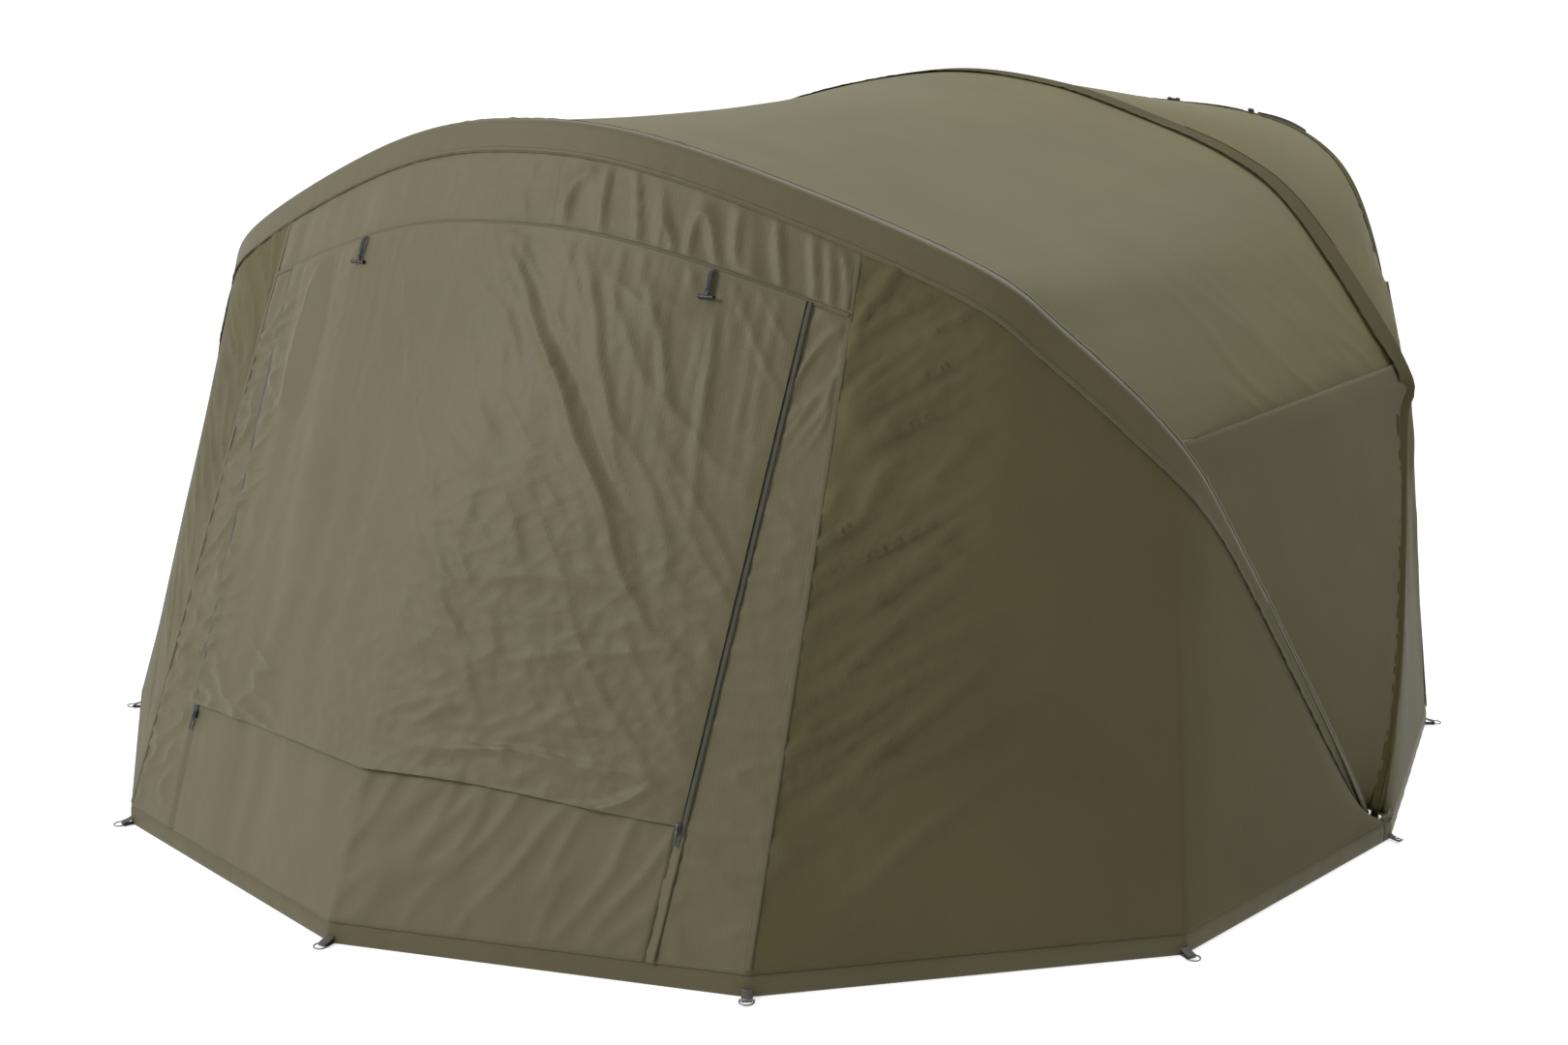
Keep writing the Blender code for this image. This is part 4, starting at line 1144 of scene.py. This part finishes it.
def soft_block(name, size, turn, centre, finish, bevel=0.0015):
    """A moulded block with rounded edges."""
    bm = bmesh.new()
    bmesh.ops.create_cube(bm, size=1)
    bmesh.ops.scale(bm, vec=size, verts=bm.verts)
    bmesh.ops.bevel(bm, geom=bm.edges, offset=bevel, segments=3, affect="EDGES", profile=0.5)
    mesh = mesh_of(name, bm)
    mesh.shade_smooth()
    mesh.transform(Matrix(turn).transposed().to_4x4())
    mesh.transform(Matrix.Translation(Vector(centre)))
    mesh.materials.append(finish)
    return placed(name, mesh)


def joined(objects, name):
    """One object from several, with their meshes put together."""
    bm = bmesh.new()
    finishes = []
    for obj in objects:
        finish = obj.data.materials[0]
        if finish not in finishes:
            finishes.append(finish)
        before = len(bm.faces)
        bm.from_mesh(obj.data)
        bm.faces.ensure_lookup_table()
        for face in bm.faces[before:]:
            face.material_index = finishes.index(finish)
        bpy.data.objects.remove(obj, do_unlink=True)
    mesh = mesh_of(name, bm)
    for finish in finishes:
        mesh.materials.append(finish)
    return placed(name, mesh)


def wall_frame(u, v, out):
    """A place on the front wall, with the ways across, up and out of the wall there."""
    def at(du, dv):
        return door_panel(np.float64(u + du), np.float64(v + dv))

    here = door_panel(np.float64(u), np.float64(v), out)
    across = unit(at(0.01, 0) - at(-0.01, 0))
    normal = unit(np.cross(across, unit(at(0, -0.01) - at(0, 0))))
    return here, across, np.cross(normal, across), normal


def make_sliders():
    """The zips' sliders, each with its bridge and its pull tag, at the foot of the door."""
    for word, side in SIDES:
        here, across, up, normal = wall_frame(side * zip_share(SLIDER_AT), SLIDER_AT, 0.005)
        turn = (across, up, normal)
        body = soft_block("body", (0.011, 0.015, 0.0042), turn, here, GUNMETAL, 0.0016)
        bridge = soft_block("bridge", (0.0030, 0.011, 0.0026), turn, here + normal * 0.0028, GUNMETAL, 0.0009)
        tag = soft_block("tag", (0.006, 0.026, 0.0016), turn, here + normal * 0.0040 - up * 0.0185, GUNMETAL, 0.0006)
        obj = joined([body, bridge, tag], f"slider_detail_{word}")
        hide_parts(f"zip_slider_{word}")
        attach(obj, f"slider_{word}")


def make_toggles():
    """A flat elastic loop sewn into the door's top seam, and a T-shaped toggle on it."""
    for word, x in TOGGLES:
        u = x / (FRONT_SEAM_X + 0.01)
        top = door_panel(np.float64(u), np.float64(DOOR_TOP + 0.012), FLAP_OUT + 0.010)
        down = unit(door_panel(np.float64(u), np.float64(0.6)) - door_panel(np.float64(u), np.float64(0.2)))
        normal = unit(np.cross(down, (1.0, 0, 0)))
        normal = normal * sign(-normal[1])
        points = [top - down * 0.014 - normal * 0.006, top - down * 0.006 - normal * 0.001, top,
                  top + down * 0.012, top + down * 0.026]
        loop = sweep(f"elastic_{word}", along_path(points, np.array((1.0, 0, 0))), strap_section(0.011, 0.0024),
                     BLACK_STRAP)
        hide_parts(f"toggle_loop_{word}")
        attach(loop, "door")
        bar = top + down * 0.040
        section = [(a * 0.8, b) for a, b in round_section(0.0045, 12)]
        across = np.linspace(-0.016, 0.016, 13)
        swell = 0.78 + 0.30 * np.abs(across / 0.016) ** 2
        path = [((bar + np.array((d, 0, 0))).tolist(), (down * k).tolist(), (normal * k).tolist())
                for d, k in zip(across, swell)]
        head = sweep("head", path, section, NYLON)
        neck = sweep("neck", along_path([bar - down * 0.013, bar - down * 0.006, bar], np.array((1.0, 0, 0))),
                     [(a * 1.3, b * 0.8) for a, b in round_section(0.0038, 10)], NYLON)
        obj = joined([head, neck], f"toggle_detail_{word}")
        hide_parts(f"toggle_{word}")
        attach(obj, f"toggle_{word}")


def make_rear_strap():
    """The strap, webbing, buckle and keeper on the rear hoop."""
    def over(share, lift):
        centre, _, out = REAR.frame(np.float64(share), np.float64(1))
        return centre + out * (BAND_RADIUS + lift)

    def strap(name, node_name, first, last, width, arch, finish):
        shares = np.linspace(first, last, 25)
        points = [over(t, 0.0016 + arch * math.sin(math.pi * k / 24)) for k, t in enumerate(shares)]
        obj = sweep(name, along_path(points, REAR.forward), strap_section(width, 0.0014), finish)
        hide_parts(node_name)
        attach(obj, "rear_hoop")

    strap("thin_strap", "rear_strap", 0.176, 0.234, 0.011, 0.0015, BLACK_STRAP)
    strap("olive_webbing", "rear_webbing", 0.249, 0.302, 0.020, 0.0035, WEBBING)
    for name, share, length, parts in (("rear_buckle", 0.162, 0.036, 3), ("rear_keeper", 0.241, 0.016, 1)):
        centre, run, out = REAR.frame(np.float64(share), np.float64(1))
        middle = centre + out * (BAND_RADIUS + 0.0050)
        turn = (run, np.cross(out, run), out)
        pieces = []
        for k in range(parts):
            offset = (k - (parts - 1) / 2) * length / parts
            width, height = (0.0165, 0.0052) if k == 1 else (0.020, 0.0070)
            size = (length / parts - 0.0006, width, height)
            pieces.append(soft_block("part", size, turn, middle + run * offset, NYLON, 0.0016))
        if parts > 1:
            pieces.append(soft_block("core", (length * 0.9, 0.013, 0.0040), turn, middle, NYLON, 0.0010))
        obj = joined(pieces, f"{name}_detail")
        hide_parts(name)
        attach(obj, "rear_hoop")


def finish_frame():
    """Gives the CAD nodes that stay their materials."""
    kinds = (("_pole_", POLE), ("tension_bar", POLE), ("hub_", NYLON), ("bar_bracket", NYLON), ("bar_peg", NYLON),
             ("peak_joint", STEEL), ("pivot_bolt", NYLON))
    for name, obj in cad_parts.items():
        for part, finish in kinds:
            if part in name:
                obj.data.materials.clear()
                obj.data.materials.append(finish)


# Studio

SHADE_WAY = (0.80, -0.60, 0.0)  # where the studio is dark, to the right of the camera
SKY = (-0.1, 0.75, 1.08, 0.20)  # the range along that way, and the light at its two ends
FLOOR_GLOW = 0.64
LIGHTS = (
    ("front_light", (-1.9, -5.3, 3.8), (0, -1.0, 0.8), 1.8, 200),
    ("left_light", (-4.6, -3.4, 2.6), (-0.4, -0.8, 0.7), 3.0, 12),
    ("top_light", (-0.6, 1.2, 4.6), (0, 0.6, 0.6), 4.0, 30),
    ("back_light", (1.9, 3.0, 5.0), (0.6, 1.0, 1.1), 2.5, 120),
)


def make_studio():
    bm = bmesh.new()
    bmesh.ops.create_grid(bm, x_segments=1, y_segments=1, size=60)
    mesh = mesh_of("floor", bm)
    made, tree, shader = nodes_of("floor_paper", 0.9)
    place = node(tree, "ShaderNodeTexCoord").outputs["Object"]
    tree.links.new(tinted(tree, noise_node(tree, place, 2.0), (0.55, 0.55, 0.55), (0.58, 0.58, 0.58)),
                   shader.inputs["Base Color"])
    shader.inputs["Emission Color"].default_value = (1, 1, 1, 1)
    shader.inputs["Emission Strength"].default_value = FLOOR_GLOW
    mesh.materials.append(made)
    floor = placed("floor", mesh)
    floor.location = (0, 0, -0.0006)

    world = bpy.data.worlds.new("studio")
    bpy.context.scene.world = world
    world.use_nodes = True
    tree = world.node_tree
    way = node(tree, "ShaderNodeVectorMath", i0=node(tree, "ShaderNodeTexCoord").outputs["Generated"],
               i1=SHADE_WAY)
    way.operation = "DOT_PRODUCT"
    shade = node(tree, "ShaderNodeMapRange", Value=way.outputs["Value"])
    for name, value in zip(("From Min", "From Max", "To Min", "To Max"), SKY):
        shade.inputs[name].default_value = value
    tree.nodes["Background"].inputs[0].default_value = (1, 1, 1, 1)
    tree.links.new(shade.outputs[0], tree.nodes["Background"].inputs[1])
    for name, place, target, size, power in LIGHTS:
        light = bpy.data.lights.new(name, "AREA")
        light.shape = "SQUARE"
        light.size = size
        light.energy = power
        holder = placed(name, light)
        holder.location = place
        holder.rotation_euler = (Vector(target) - Vector(place)).to_track_quat("-Z", "Y").to_euler()


def make_camera():
    camera = bpy.data.cameras.new("camera")
    camera.lens = 43.98
    camera.sensor_width = 36
    camera.clip_end = 200
    holder = placed("camera", camera)
    holder.location = (2.304, -3.742, 1.506)
    back = Vector((0.4985, -0.8363, 0.2282))
    holder.rotation_euler = back.to_track_quat("Z", "Y").to_euler()
    bpy.context.scene.camera = holder
    bpy.context.scene.view_settings.view_transform = "Standard"


make_camera()
make_studio()
finish_frame()
make_valance()
for side_word, side_sign in SIDES:
    make_strip(side_word, side_sign)
    make_wing(side_word, side_sign)
make_sill()
make_flap()
make_roof()
make_back()
make_band("front_sleeve", FRONT, LEG_END, front_to_ground, to_hoop(FRONT, MIDDLE), 0.056, 0.014, 151,
          SLEEVE_CLOTH, "front_hoop")
make_band("middle_sleeve", MIDDLE, LEG_END, to_hoop(MIDDLE, FRONT), middle_to_rear, 0.075, 0.018, 153,
          DARK_SLEEVE, "shelter", 0.0025)
make_band("rear_sleeve", REAR, REAR.elbow, to_hoop(REAR, MIDDLE), rear_to_ground, 0.024, 0.024, 155,
          DARK_SLEEVE, "rear_hoop")
make_seams()
make_zips()
make_ground_edge()
make_ring("ring_spare_wire", 1, 1, "ring_door_seam_right", turn=0.5)
make_sliders()
make_toggles()
make_rear_strap()
